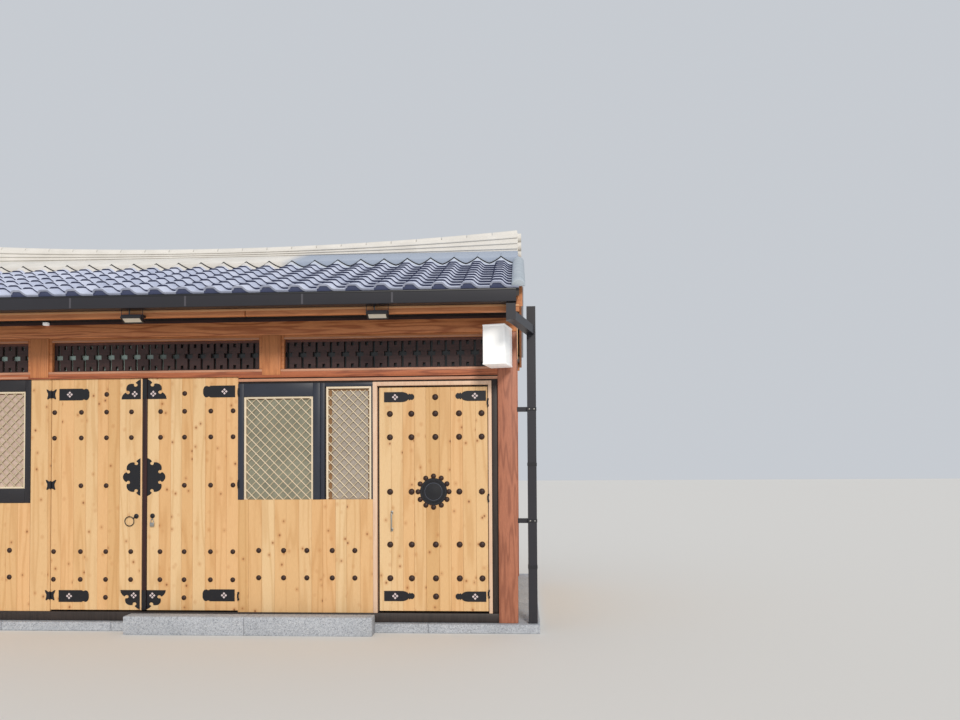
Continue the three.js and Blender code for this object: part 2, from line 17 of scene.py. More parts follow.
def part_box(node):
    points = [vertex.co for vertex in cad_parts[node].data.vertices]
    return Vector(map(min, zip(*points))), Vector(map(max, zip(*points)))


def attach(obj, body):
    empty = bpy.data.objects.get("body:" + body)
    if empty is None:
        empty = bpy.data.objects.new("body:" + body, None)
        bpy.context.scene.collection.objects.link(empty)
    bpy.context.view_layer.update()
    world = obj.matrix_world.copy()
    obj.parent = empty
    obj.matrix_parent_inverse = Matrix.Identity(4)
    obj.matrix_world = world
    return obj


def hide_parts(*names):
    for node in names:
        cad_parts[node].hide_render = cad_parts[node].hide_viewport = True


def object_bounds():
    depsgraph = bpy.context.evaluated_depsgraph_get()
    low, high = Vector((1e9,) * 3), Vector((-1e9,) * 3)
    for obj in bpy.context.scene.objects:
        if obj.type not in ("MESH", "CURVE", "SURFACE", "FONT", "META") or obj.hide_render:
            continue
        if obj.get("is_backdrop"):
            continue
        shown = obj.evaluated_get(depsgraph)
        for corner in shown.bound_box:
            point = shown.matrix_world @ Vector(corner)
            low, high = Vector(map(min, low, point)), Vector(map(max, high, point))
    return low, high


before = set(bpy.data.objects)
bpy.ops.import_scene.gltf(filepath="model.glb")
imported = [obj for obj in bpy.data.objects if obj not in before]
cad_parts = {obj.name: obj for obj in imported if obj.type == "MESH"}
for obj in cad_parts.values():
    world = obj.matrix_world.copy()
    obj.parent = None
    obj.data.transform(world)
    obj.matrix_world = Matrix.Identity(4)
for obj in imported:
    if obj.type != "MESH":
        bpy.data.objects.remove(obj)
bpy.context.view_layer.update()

luck = random.Random(41)

# %% [markdown]
# ## Small helpers
# An operator works on whatever is selected, and loading the frame leaves everything selected. So
# each step starts by selecting only its own object. The helpers below do that, and keep a piece's
# place, turn and size inside its mesh, so that its object stays at the origin like a CAD node.

# %% Selecting and placing
def start():
    """Object mode with nothing selected."""
    if bpy.context.object and bpy.context.object.mode == "EDIT":
        bpy.ops.object.mode_set(mode="OBJECT")
    bpy.ops.object.select_all(action="DESELECT")


def only(*pieces):
    """Selects these objects alone; the first is the active one."""
    start()
    for piece in pieces:
        piece.select_set(True)
    bpy.context.view_layer.objects.active = pieces[0]


def settle(piece):
    """Moves an object's place, turn and size into its mesh."""
    only(piece)
    bpy.ops.object.transform_apply(location=True, rotation=True, scale=True)
    return piece


def pick(piece, kind, test):
    """Edit mode with only those faces, edges or vertices selected that pass a test."""
    only(piece)
    bpy.ops.object.mode_set(mode="EDIT")
    bpy.ops.mesh.select_mode(type=kind)
    bpy.ops.mesh.select_all(action="DESELECT")
    shape = bmesh.from_edit_mesh(piece.data)
    for part in {"VERT": shape.verts, "EDGE": shape.edges, "FACE": shape.faces}[kind]:
        if test(part):
            part.select_set(True)
    bmesh.update_edit_mesh(piece.data)


# %% Primitives
def block(name, low, high):
    """A cube primitive stretched between two corners."""
    start()
    low, high = Vector(low), Vector(high)
    bpy.ops.mesh.primitive_cube_add(size=1, location=(low + high) / 2)
    piece = bpy.context.object
    piece.name = name
    piece.scale = high - low
    return settle(piece)


def drum(name, radius, length, place, turn=(0, 0, 0), sides=16):
    """A cylinder primitive, turned by degrees about X, Y and Z."""
    start()
    bpy.ops.mesh.primitive_cylinder_add(vertices=sides, radius=radius, depth=length, location=place,
                                        rotation=[math.radians(angle) for angle in turn])
    piece = settle(bpy.context.object)
    piece.name = name
    return piece


def hoop(name, radius, wire, place, sides=(32, 8)):
    """A torus primitive that lies flat against the front, as an iron ring does."""
    start()
    bpy.ops.mesh.primitive_torus_add(major_radius=radius, minor_radius=wire, location=place,
                                     major_segments=sides[0], minor_segments=sides[1],
                                     rotation=(math.radians(90), 0, 0))
    piece = settle(bpy.context.object)
    piece.name = name
    return piece


# %% Shaping
def modify(piece, kind, **settings):
    """Adds a modifier, sets it and applies it."""
    only(piece)
    bpy.ops.object.modifier_add(type=kind)
    modifier = piece.modifiers[-1]
    for name, value in settings.items():
        setattr(modifier, name, value)
    bpy.ops.object.modifier_apply(modifier=modifier.name)
    return piece


def soften(piece, width, segments=2):
    """Rounds every edge that is sharper than 35 degrees."""
    return modify(piece, "BEVEL", width=width, segments=segments, limit_method="ANGLE",
                  angle_limit=math.radians(35))


def join(name, pieces):
    """Makes one object of several."""
    only(*pieces)
    if len(pieces) > 1:
        bpy.ops.object.join()
    pieces[0].name = name
    return pieces[0]


def repeat(name, model, places):
    """Copies a model to each place, given as a matrix or a shift, and joins the copies."""
    copies = []
    for place in places:
        copy = model.copy()
        copy.data = model.data.copy()
        bpy.context.collection.objects.link(copy)
        matrix = place if isinstance(place, Matrix) else Matrix.Translation(place)
        copy.data.transform(matrix)
        copies.append(copy)
    bpy.data.objects.remove(model)
    return join(name, copies)


def trim(piece, point, normal):
    """Cuts off what lies on the side that the normal points to, and closes the cut."""
    pick(piece, "FACE", lambda face: True)
    bpy.ops.mesh.bisect(plane_co=point, plane_no=normal, use_fill=True, clear_outer=True)
    start()
    return piece


def tidy_normals(piece):
    """Merges double points and turns every face outwards."""
    pick(piece, "VERT", lambda vertex: True)
    bpy.ops.mesh.remove_doubles(threshold=0.00002)
    bpy.ops.mesh.normals_make_consistent(inside=False)
    start()
    return piece


def finish(piece, material, slot=None, body="house", replaces=(), smooth=35):
    """Gives a piece its material, shading and body, and hides the nodes it replaces; the slot is not used.
    """
    piece.data.name = piece.name
    piece.data.materials.clear()
    piece.data.materials.append(material)
    only(piece)
    bpy.ops.object.shade_smooth_by_angle(angle=math.radians(smooth))
    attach(piece, body)
    if replaces:
        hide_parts(*replaces)
    print(f"{piece.name}: {len(piece.data.polygons)} faces")
    return piece


def assemble(name, corners, edge, material, *links, segments=2, **more):
    """Blocks between pairs of corners, joined, eased and finished as one piece."""
    piece = join(name, [block(name, low, high) for low, high in corners])
    return finish(soften(piece, edge, segments), material, *links, **more)


def slab(name, low, high, edge, material, *links, **more):
    """One eased block, finished."""
    return assemble(name, [(low, high)], edge, material, *links, **more)

# %% [markdown]
# ## Node helpers
# A material is a small network. One helper adds any node with its settings and its inputs, and
# one turns a hex colour, as a paint chart gives it, into the linear numbers that shaders use.
# Patterns read Object coordinates. Every finished piece sits at the origin, so those coordinates
# are metres on the house, and a pattern's scale can be worked out from a real size.

# %% Colours and nodes
MIX_FACTOR, MIX_A, MIX_B, MIX_RESULT = 0, 6, 7, 2      # sockets of a Mix node set to colour


def colour(code):
    """Linear red, green, blue and alpha of an sRGB hex code."""
    parts = [int(code[i:i + 2], 16) / 255 for i in (0, 2, 4)]
    return (*[p / 12.92 if p <= 0.04045 else ((p + 0.055) / 1.055) ** 2.4 for p in parts], 1)


def add(tree, kind, sockets=None, stops=None, **settings):
    """Adds a shader node with its settings; sockets take values or other nodes' outputs."""
    node = tree.nodes.new("ShaderNode" + kind)
    for name, value in settings.items():
        setattr(node, name, value)
    for name, value in (sockets or {}).items():
        if isinstance(value, bpy.types.NodeSocket):
            tree.links.new(value, node.inputs[name])
        else:
            node.inputs[name].default_value = value
    for i, (position, code) in enumerate(stops or []):
        ramp = node.color_ramp.elements
        element = ramp[i] if i < len(ramp) else ramp.new(position)
        element.position = position
        element.color = colour(code)
    return node


def new_material(name, rough, ior=1.5, **surface):
    """A material with one Principled shader, whose plain values are set on its own sockets."""
    material = bpy.data.materials.new(name)
    material.use_nodes = True
    tree = material.node_tree
    shader = tree.nodes["Principled BSDF"]
    for socket, value in {"Roughness": rough, "IOR": ior, **surface}.items():
        shader.inputs[socket.replace("_", " ")].default_value = value
    return material, tree, shader


def blend_colours(tree, factor, first, second, mode="MIX"):
    """Mixes two colours, each a hex code or another node's output."""
    sockets = {MIX_FACTOR: factor}
    for socket, value in ((MIX_A, first), (MIX_B, second)):
        sockets[socket] = colour(value) if isinstance(value, str) else value
    mixed = add(tree, "Mix", sockets, data_type="RGBA", blend_type=mode)
    return mixed.outputs[MIX_RESULT]


def bump(tree, shader, height, strength, distance):
    """Turns a pattern into small relief, with its depth in metres."""
    relief = add(tree, "Bump", {"Height": height, "Strength": strength, "Distance": distance})
    tree.links.new(relief.outputs["Normal"], shader.inputs["Normal"])


# %% [markdown]
# ## Wood
# All the timber is pine: boards under clear oil, and beams under a red-brown stain. On a sawn
# face the growth rings show as long nested arches. They are contour lines, so a noise stretched
# along the trunk, multiplied and sent through a sine, draws them. Each board carries a number of
# its own in an attribute, which moves the noise and shifts the colour, so no two boards match.

# %% Growth rings and fibres
RING_WIDTH = 0.06         # metres across the board that one swing of the noise takes
TRUNK_STRETCH = 14.0      # a ring runs this many times further along the trunk


def wood_coordinates(tree, along):
    """Object coordinates jumped by the board's number and stretched along X, Y or Z."""
    place = add(tree, "TexCoord").outputs["Object"]
    number = add(tree, "Attribute", attribute_name="board").outputs["Fac"]
    jump = add(tree, "VectorMath", {0: (31.0, 17.0, 43.0), "Scale": number}, operation="SCALE")
    moved = add(tree, "VectorMath", {0: place, 1: jump.outputs[0]}, operation="ADD")
    scale = [1.0, 1.0, 1.0]
    scale["XYZ".index(along)] = 1 / TRUNK_STRETCH
    stretched = add(tree, "Mapping", {"Vector": moved.outputs[0], "Scale": scale})
    return moved.outputs[0], stretched.outputs["Vector"], number


def rings(tree, stretched, count, sharpness, width=RING_WIDTH):
    """Dark late-wood lines, from 0 to 1, as contours of a slow noise."""
    slow = add(tree, "TexNoise", {"Vector": stretched, "Scale": 1 / width, "Detail": 1.5,
                                  "Roughness": 0.4})
    many = add(tree, "Math", {0: slow.outputs["Fac"], 1: count * math.tau}, operation="MULTIPLY")
    wave = add(tree, "Math", {0: many.outputs[0]}, operation="SINE")
    level = add(tree, "MapRange", {"Value": wave.outputs[0], "From Min": -1.0, "From Max": 1.0})
    return add(tree, "Math", {0: level.outputs[0], 1: sharpness}, operation="POWER").outputs[0]


def fibres(tree, stretched):
    """Fine streaks about 3 mm wide, coarser than real fibres so that they show."""
    return add(tree, "TexNoise", {"Vector": stretched, "Scale": 330.0, "Detail": 3.0,
                                  "Roughness": 0.6}).outputs["Fac"]


# %% Oiled pine with knots
KNOT_CELLS = (9.5, 9.5, 8.0)     # cells per metre across, through and along the boards


def knots(tree, moved):
    """Round knots: 1 in the core, falling to 0. A Voronoi point near the board's face is a knot."""
    place = add(tree, "Mapping", {"Vector": moved, "Scale": KNOT_CELLS}).outputs["Vector"]
    cells = add(tree, "TexVoronoi", {"Vector": place, "Scale": 1.0})
    parts = [add(tree, "MapRange", {"Value": cells.outputs["Distance"], "From Min": inner,
                                    "From Max": outer, "To Min": 1.0, "To Max": 0.0})
             for inner, outer in ((0.03, 0.12), (0.06, 0.27))]
    chance = add(tree, "SeparateColor", {"Color": cells.outputs["Color"]}).outputs["Red"]
    return parts[0].outputs["Result"], parts[1].outputs["Result"], chance


def oil(name, light, dark, tints):
    """Clear-oiled pine: a soft sheen and a pale, warm colour with few dark knots."""
    material, tree, shader = new_material(name, 0.52)
    moved, stretched, number = wood_coordinates(tree, "Z")
    line = rings(tree, stretched, 4.0, 3.0, 0.10)
    streak = fibres(tree, stretched)
    core, halo, chance = knots(tree, moved)
    faint = add(tree, "Math", {0: line, 1: 0.40}, operation="MULTIPLY").outputs[0]
    body = blend_colours(tree, faint, light, dark)
    fine = add(tree, "MapRange", {"Value": streak, "From Min": 0.35, "From Max": 0.75,
                                  "To Max": 0.30}).outputs[0]
    body = blend_colours(tree, fine, body, dark)
    cast = add(tree, "ValToRGB", {"Fac": number}, stops=tints).outputs["Color"]
    body = blend_colours(tree, 0.75, body, cast, "MULTIPLY")
    warm = add(tree, "Math", {0: halo, 1: 0.45}, operation="MULTIPLY").outputs[0]
    body = blend_colours(tree, warm, body, "b8763a")
    core_colour = blend_colours(tree, chance, "6f4022", "9c6634")
    body = blend_colours(tree, core, body, core_colour)
    tree.links.new(body, shader.inputs["Base Color"])
    bump(tree, shader, streak, 0.25, 0.0008)
    return material


# Pale, honey and pinkish boards, as they come from several trunks.
BOARD_TINTS = [(0.0, "f3dcc0"), (0.3, "ffffff"), (0.6, "f6e6d2"), (0.8, "ffe9d6"), (1.0, "e9d4b4")]
oiled_pine = oil("oiled pine boards", "e6c596", "c79a62", BOARD_TINTS)
print("material:", oiled_pine.name)


# %% Stained pine beams
BEAM_RINGS = 5.0          # rings to a swing of the noise


def stain(name, along, light, dark, streaks, strength, rough=0.55):
    """Pigmented stain over pine: the soft early wood drinks it, the rings stay as dark lines."""
    material, tree, shader = new_material(name, rough)
    stretched = wood_coordinates(tree, along)[1]
    line = rings(tree, stretched, BEAM_RINGS, 2.2)
    streak = fibres(tree, stretched)
    patch = add(tree, "TexNoise", {"Vector": stretched, "Scale": 3.0, "Detail": 2.0}).outputs["Fac"]
    body = blend_colours(tree, patch, light, streaks)
    strong = add(tree, "Math", {0: line, 1: strength}, operation="MULTIPLY").outputs[0]
    body = blend_colours(tree, strong, body, dark)
    fine = add(tree, "MapRange", {"Value": streak, "From Min": 0.4, "From Max": 0.8,
                                  "To Max": 0.5}).outputs[0]
    body = blend_colours(tree, fine, body, dark)
    tree.links.new(body, shader.inputs["Base Color"])
    bump(tree, shader, streak, 0.3, 0.001)
    return material


stained_along = {axis: stain(f"red-brown stained pine {axis}", axis, "bf7048", "7c3d24", "a25a36", 0.7)
                 for axis in "XYZ"}
post_stain = stain("weathered stained posts", "Z", "bd7a5c", "7c4632", "a2634a", 0.6)
bright_along = {axis: stain(f"orange-brown stained pine {axis}", axis, "d58f5c", "9c5a34", "c47c4a",
                            0.45) for axis in "XYZ"}
# The front beam's stain is paler than the other beams': its own orange stain, brightened as painted light
# under the eave.
front_beam_stain_and_light = stain("orange stained front beam with painted light", "X", "eda06a", "9a5028", "cf8350", 0.75)
transom_stain = stain("dark red-brown stained boards", "X", "4a3230", "2a1a18", "3e2826", 0.5)
moulding_shadow_stain = stain("umber painted shadow under the moulding", "X", "6e4234", "40241c", "5a342a", 0.5)
black_stain = stain("black-brown stained pine", "Z", "3a302c", "1c1614", "2c2422", 0.5)
maroon_stain = stain("maroon lacquered pine", "Z", "3c1714", "1a0a0a", "2c100e", 0.5, 0.32)
gable_stain = stain("red stained gable boards", "Z", "8c4530", "4e2014", "7a3a26", 0.7)
pale_pine = stain("pale pine mouldings", "Z", "ecc79a", "cf9f6a", "e2b888", 0.35)
cream_pine = stain("pale planed door frame", "Z", "e8cbb0", "cda385", "e0bda0", 0.3)
pale_edge = stain("planed upper edge", "X", "deab7c", "bd8050", "d39a68", 0.3)
pale_stain_and_highlight = stain("pale stained mouldings and painted highlight", "X", "cf9a7c", "a06a50", "bf8a6c", 0.4)
print("materials: stained pine along X, Y and Z, dark, maroon, gable, pale")

# %% [markdown]
# ## Paint, iron, stone, plaster and clay
# These finishes have no direction. Paint keeps a faint brush texture; forged iron is black with
# brown where it was heated; granite is a mix of pale and dark grains a few millimetres wide;
# lime plaster is nearly even with soft clouds; and fired roof clay is grey-blue and a little
# glossy, with every tile a shade of its own.


# %% Speckled and clouded finishes
def clouded(name, light, dark, grain, size, relief, rough, ior=1.5, **surface):
    """An even finish with soft clouds of a given size and fine grain of another, in metres."""
    material, tree, shader = new_material(name, rough, ior, **surface)
    place = add(tree, "TexCoord").outputs["Object"]
    cloud = add(tree, "TexNoise", {"Vector": place, "Scale": 1 / size, "Detail": 3.0}).outputs["Fac"]
    speck = add(tree, "TexNoise", {"Vector": place, "Scale": 1 / grain, "Detail": 2.0}).outputs["Fac"]
    body = blend_colours(tree, cloud, light, dark)
    spotted = add(tree, "MapRange", {"Value": speck, "From Min": 0.35, "From Max": 0.7,
                                     "To Max": 0.5}).outputs[0]
    body = blend_colours(tree, spotted, body, dark)
    tree.links.new(body, shader.inputs["Base Color"])
    bump(tree, shader, speck, 0.35, relief)
    return material


MORTAR_TURN = (0.95, 1.15)       # where the mortar turns blue-grey, along X
GLASS_LIGHT_TURN = (-0.30, 0.25)       # where the transoms' glass turns from painted light to painted shade


def fade_along_x(material, code, first, last):
    """Turns a material's colour into another one between two places along the house."""
    tree = material.node_tree
    colour_in = tree.nodes["Principled BSDF"].inputs["Base Color"]
    body = colour_in.links[0].from_socket
    place = add(tree, "TexCoord").outputs["Object"]
    across = add(tree, "SeparateXYZ", {"Vector": place}).outputs["X"]
    share = add(tree, "MapRange", {"Value": across, "From Min": first, "From Max": last})
    tree.links.new(blend_colours(tree, share.outputs["Result"], body, code), colour_in)


# Paint laid on by brush: satin, and even but for clouds 30 cm wide.
window_paint = clouded("blue-black window paint", "343a48", "20242e", 0.004, 0.3, 0.0004, 0.42)
shaded_paint = clouded("black-brown window paint", "2c2a30", "1b191d", 0.004, 0.3, 0.0004, 0.42)
# Iron from the forge, matt where it is scaled; a paler iron paints the highlight on the roundel's raised
# ring.
forged_iron = clouded("forged iron under black scale", "12131d", "08080e", 0.006, 0.05, 0.0006, 0.45)
highlight_iron = clouded("iron with a painted highlight", "6a6e7c", "464a56", 0.004, 0.03, 0.0003, 0.4)
browned_iron = clouded("browned iron nails", "42200f", "1e0d06", 0.006, 0.03, 0.0005, 0.55)
# Pale diamonds in the pierced flowers: painted light seen through the holes.
painted_light_inlay = clouded("pale inlay of painted light", "ead9d8", "cdbdbf", 0.004, 0.03, 0.0002, 0.4)
brushed_steel = clouded("brushed stainless steel", "c4c2bc", "a09e98", 0.002, 0.04, 0.0001, 0.32,
                        Metallic=1.0)
# Coated sheet of the gutters, nearly even.
charcoal_coat = clouded("charcoal coated steel", "2a2930", "201f25", 0.003, 0.5, 0.0002, 0.42)
worn_coat = clouded("worn coated steel", "514f56", "434147", 0.003, 0.5, 0.0002, 0.5)
dark_coat = clouded("dark coated steel", "202026", "151519", 0.003, 0.5, 0.0002, 0.42)
# Lime, mortar and screed, trowelled and fully matt.
plaster = clouded("white lime plaster", "f2eee6", "e0dace", 0.004, 0.6, 0.0012, 0.88, 1.45)
ochre_plaster = clouded("ochre plaster", "dca94c", "c8923a", 0.004, 0.5, 0.0012, 0.85, 1.45)
ridge_plaster = clouded("ridge lime plaster", "edeae5", "cbc7c0", 0.006, 0.25, 0.003, 0.9, 1.45)
plug_mortar = clouded("mortar plugs of the tile rolls", "eeebe6", "d0ccc6", 0.006, 0.25, 0.003, 0.9, 1.45)
fade_along_x(plug_mortar, "c9d0dc", *MORTAR_TURN)
floor_screed = clouded("cement floor screed", "9c988f", "837f78", 0.004, 0.4, 0.0006, 0.85, 1.45)
# Lamp parts: the cover has a faint painted glow, an emission that stands in for daylight passing through
# it, so it never looks grey.
glowing_lamp_acrylic = clouded("white acrylic lamp cover with painted glow", "fcfcfa", "f2f3f2", 0.004, 0.3, 0.0001, 0.28, 1.49,
                       Emission_Strength=0.25)
lamp_lens = clouded("frosted lamp glass", "e6e2d6", "d4cfc2", 0.003, 0.06, 0.0002, 0.25)
# Thin lattice wood, the screens behind it, and the transoms' glass, painted pale to the left and dark to
# the right as the light of the room behind.
lattice_wood = clouded("cream lattice wood", "efe0c8", "ddcbac", 0.004, 0.2, 0.0004, 0.55)
# A darker copy of the lattice wood: painted shade, for the second layer and the left window.
shaded_lattice_wood = clouded("cream lattice wood in painted shade", "d0c2a6", "b4a486", 0.004, 0.2, 0.0004, 0.6)
backing_wood = clouded("brown sash backing", "a27a50", "7a5a3a", 0.004, 0.2, 0.0004, 0.6)
screen_green = clouded("grey-green window screen", "a5a691", "6f6c5c", 0.006, 0.12, 0.0006, 0.5)
screen_brown = clouded("grey-brown window screen", "b9b0a6", "94897d", 0.006, 0.12, 0.0006, 0.5)
screen_beige = clouded("pinkish window screen", "d6c0b2", "b7a092", 0.006, 0.12, 0.0006, 0.5)
transom_glass = clouded("frosted transom glass", "d6ebe2", "a4bcb2", 0.01, 0.45, 0.0003, 0.3)
# Painted light and shade of the room behind: the glass turns dark along X.
fade_along_x(transom_glass, "2b2f30", *GLASS_LIGHT_TURN)
print("materials: paint, iron, steel, plaster, screed, lamp parts, lattice, screens")


# %% Granite
def flame(name, light, dark):
    """Flamed granite: grains about 4 mm wide, quartz pale and mica dark, and a matt surface."""
    material, tree, shader = new_material(name, 0.78, 1.54)
    place = add(tree, "TexCoord").outputs["Object"]
    grains = add(tree, "TexVoronoi", {"Vector": place, "Scale": 1 / 0.008})
    shade = add(tree, "SeparateColor", {"Color": grains.outputs["Color"]}).outputs["Red"]
    cloud = add(tree, "TexNoise", {"Vector": place, "Scale": 2.5, "Detail": 4.0}).outputs["Fac"]
    ramp = add(tree, "ValToRGB", {"Fac": shade},
               stops=[(0.0, dark), (0.18, "8b9096"), (0.5, light), (1.0, "ccd0d2")])
    body = blend_colours(tree, 0.45, ramp.outputs["Color"], light)
    cloudy = add(tree, "MapRange", {"Value": cloud, "From Min": 0.4, "From Max": 0.8,
                                    "To Max": 0.35}).outputs[0]
    body = blend_colours(tree, cloudy, body, "7f868d")
    tree.links.new(body, shader.inputs["Base Color"])
    bump(tree, shader, shade, 0.4, 0.0015)
    return material


granite = flame("flamed grey granite", "aeb2ba", "4e525a")

# %% Roof clay
ROOF_ANGLE = math.radians(22)
EAVE_OUT = 2.170          # edge of the boards from the middle of the house
ROW_COUNT, ROW_PITCH = 10, 0.172
WAVE_COUNT = 28
eave_low, eave_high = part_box("roof_front")
ROOF_TOP = eave_high.z + 0.001 * math.tan(ROOF_ANGLE)
SLOPE_LENGTH = EAVE_OUT / math.cos(ROOF_ANGLE)
WAVE_PITCH = (eave_high.x - eave_low.x) / WAVE_COUNT


def fire(name, light, dark):
    """Glazed grey-blue tile: each tile a tone of its own, a low sheen, and painted shade in navy on the
    nose, the roll's steep flank and the pan.
    """
    material, tree, shader = new_material(name, 0.42)
    place = add(tree, "TexCoord").outputs["Object"]
    shade = add(tree, "Attribute", attribute_name="board").outputs["Fac"]
    cloud = add(tree, "TexNoise", {"Vector": place, "Scale": 9.0, "Detail": 3.0}).outputs["Fac"]
    body = blend_colours(tree, shade, light, dark)
    body = blend_colours(tree, cloud, body, light)
    # The attribute nose holds painted shade: it darkens the nose, the steep flank and the pan towards
    # navy.
    nose = add(tree, "Attribute", attribute_name="nose").outputs["Fac"]
    body = blend_colours(tree, nose, body, "262c48")
    tree.links.new(body, shader.inputs["Base Color"])
    bump(tree, shader, cloud, 0.2, 0.001)
    return material


roof_clay = fire("grey-blue roof clay", "d4daee", "a4aeca")
shaded_plug_clay = clouded("roof clay in painted shade", "525a7c", "39405e", 0.006, 0.09, 0.001, 0.5)
cover_clay = clouded("grey cover tile clay", "c3ccd3", "98a3ae", 0.006, 0.09, 0.0015, 0.6)
bed_mortar = clouded("mortar bed of the ridge", "edeae5", "cfcbc4", 0.006, 0.25, 0.003, 0.85, 1.45)
fade_along_x(bed_mortar, "a3adbd", *MORTAR_TURN)
print("materials: granite, roof clay, cover clay, ridge mortar")

# %% [markdown]
# ## Camera, light and floor
# The camera stands about seven metres in front of the right end of the house at eye height, and
# looks slightly to the left, as the fitted photograph does. The light is a soft studio: a broad
# sun from the front right, a pale world that fills the shadows, and a pale floor.

# %% Camera
CAMERA_PLACE = Vector((3.60, -8.55, 1.61))
CAMERA_YAW, CAMERA_PITCH, CAMERA_ROLL = (math.radians(a) for a in (3.15, 1.38, 0.34))

ahead = Vector((-math.sin(CAMERA_YAW) * math.cos(CAMERA_PITCH),
                math.cos(CAMERA_YAW) * math.cos(CAMERA_PITCH), math.sin(CAMERA_PITCH)))
level = Vector((math.cos(CAMERA_YAW), math.sin(CAMERA_YAW), 0))
upright = level.cross(ahead)
right = level * math.cos(CAMERA_ROLL) - upright * math.sin(CAMERA_ROLL)
above = upright * math.cos(CAMERA_ROLL) + level * math.sin(CAMERA_ROLL)
bpy.ops.object.camera_add(location=CAMERA_PLACE)
camera = bpy.context.object
camera.rotation_euler = Matrix((right, above, -ahead)).transposed().to_euler()
camera.data.lens = 27.375
camera.data.sensor_width = 36
camera.data.shift_y = 0.0896
bpy.context.scene.camera = camera
print("camera at", tuple(CAMERA_PLACE))

# %% Light and floor
bpy.ops.object.light_add(type="SUN", rotation=(math.radians(60), 0, math.radians(18)))
key = bpy.context.object
key.name = "key_light"
key.data.energy = 2.0
key.data.angle = math.radians(14)
key.data.color = colour("fff8ee")[:3]

world = bpy.data.worlds.new("studio")
world.use_nodes = True
world.node_tree.nodes["Background"].inputs["Color"].default_value = colour("e9eef5")
world.node_tree.nodes["Background"].inputs["Strength"].default_value = 0.70
bpy.context.scene.world = world
bpy.context.scene.view_settings.view_transform = "Standard"

FLOOR_SIZE = 120
bpy.ops.mesh.primitive_plane_add(size=FLOOR_SIZE)
floor = bpy.context.object
floor.name = "studio_floor"
floor_paint, _, floor_shader = new_material("pale studio floor", 0.9)
floor_shader.inputs["Base Color"].default_value = colour("dcdad6")
floor.data.materials.append(floor_paint)
floor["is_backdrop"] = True
print("sun, pale world and floor")

# %% [markdown]
# ## Timber frame
# Posts and beams are planed and their edges are eased by hand, which is what catches the light.
# Each one is a cube primitive at the node's own corners, with a Bevel modifier for the edges.

# %% Posts and beams
EASED = 0.007
SHADE_BAND_FOOT, SHADE_BAND_PROUD = 3.012, 0.002     # a dark strip of painted shade along the top of the front beam, under the eave


def timber(node, material, slot="beam"):
    """A bevelled timber in the place of a CAD node."""
    return slab(node + "_timber", *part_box(node), EASED, material, slot, replaces=[node])


for side in ("left", "right"):
    timber(f"post_front_{side}", post_stain)
    for post in ("post_back", "post_back_middle"):
        timber(f"{post}_{side}", stained_along["Z"])
    timber(f"top_beam_{side}", stained_along["Y"])
timber("top_beam_front", front_beam_stain_and_light)
timber("top_beam_back", stained_along["X"])
# A dark board over the front beam's top: painted shade under the eave.
shade_band_low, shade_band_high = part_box("top_beam_front")
slab("top_beam_painted_shade_band", (shade_band_low.x, shade_band_low.y - SHADE_BAND_PROUD, SHADE_BAND_FOOT),
     (shade_band_high.x, shade_band_low.y, shade_band_high.z), 0.0008, transom_stain, "dark_wood", segments=1)
timber("base_beam_front", black_stain, "dark_wood")
timber("door_side_filler", black_stain, "dark_wood")

# %% Sill beam, its mouldings and the short posts
post_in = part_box("post_front_right")[0].x
beam_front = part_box("post_front_right")[0].y
beam_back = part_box("top_beam_right")[0].y
SILL_LOW, SILL_TOP = 2.475, 2.545
SILL_EDGE = 0.022                        # the pale moulding along the upper edge, paler partly as a painted highlight from above
FOOT_MOULD = (0.006, 0.024)              # the pale moulding along the foot, over the sill's underside
RAIL_LOW, RAIL_HIGH, RAIL_SEAM = 2.427, 2.453, 2.465
RAIL_FRONT, RAIL_BACK = -1.546, -1.415
SHADOW_GROOVE_FRONTS = (-1.528, -1.520)           # fronts of the black grooves over the rail and under it: real recesses, blackened as painted shadow
PROUD = 0.003
FRAME_TOP = {"left": SILL_LOW, "right": 2.408}
WINDOW_LEFT, WINDOW_RIGHT = (corner.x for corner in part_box("window_frame_right"))
WINDOW_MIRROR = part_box("window_frame_left")[1].x
rail_left = WINDOW_LEFT + 0.008
moulding_end = WINDOW_MIRROR - 0.016
moulding_front = beam_front - PROUD
assemble("sill_beam_timber", [
    ((-post_in, beam_front, SILL_LOW), (post_in, beam_back, SILL_TOP)),
    ((rail_left, beam_front, RAIL_SEAM), (post_in, RAIL_BACK, SILL_LOW)),
], 0.003, stained_along["X"], "beam", replaces=["sill_beam_front"])
assemble("sill_mouldings", [
    ((-post_in, moulding_front, SILL_TOP - SILL_EDGE), (post_in, beam_front, SILL_TOP)),
    ((rail_left, RAIL_FRONT, RAIL_LOW), (post_in, RAIL_BACK, RAIL_HIGH)),
    ((-post_in, moulding_front, SILL_LOW + FOOT_MOULD[0]),
     (moulding_end, beam_front, SILL_LOW + FOOT_MOULD[1])),
], 0.0025, pale_stain_and_highlight, "beam")
# Black grooves: painted shadow over the rail and under it.
assemble("sill_shadow_grooves", [
    ((rail_left, SHADOW_GROOVE_FRONTS[0], RAIL_HIGH), (post_in, RAIL_BACK, RAIL_SEAM)),
    ((rail_left, SHADOW_GROOVE_FRONTS[1], FRAME_TOP["right"]), (post_in, RAIL_BACK, RAIL_LOW)),
], 0.001, black_stain, "dark_wood", segments=1)

POST_FOOT, POST_PROUD = 2.489, PROUD + 0.002
for side in ("left", "right"):
    node = f"transom_post_{side}"
    low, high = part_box(node)
    front = low.y - POST_PROUD
    parts = [block("post", (low.x, front, low.z), high),
             block("foot", (low.x, front, POST_FOOT), (high.x, low.y - 0.0003, low.z))]
    post = soften(tidy_normals(join(node + "_timber", parts)), 0.004)
    finish(post, bright_along["Z"], "beam", replaces=[node])

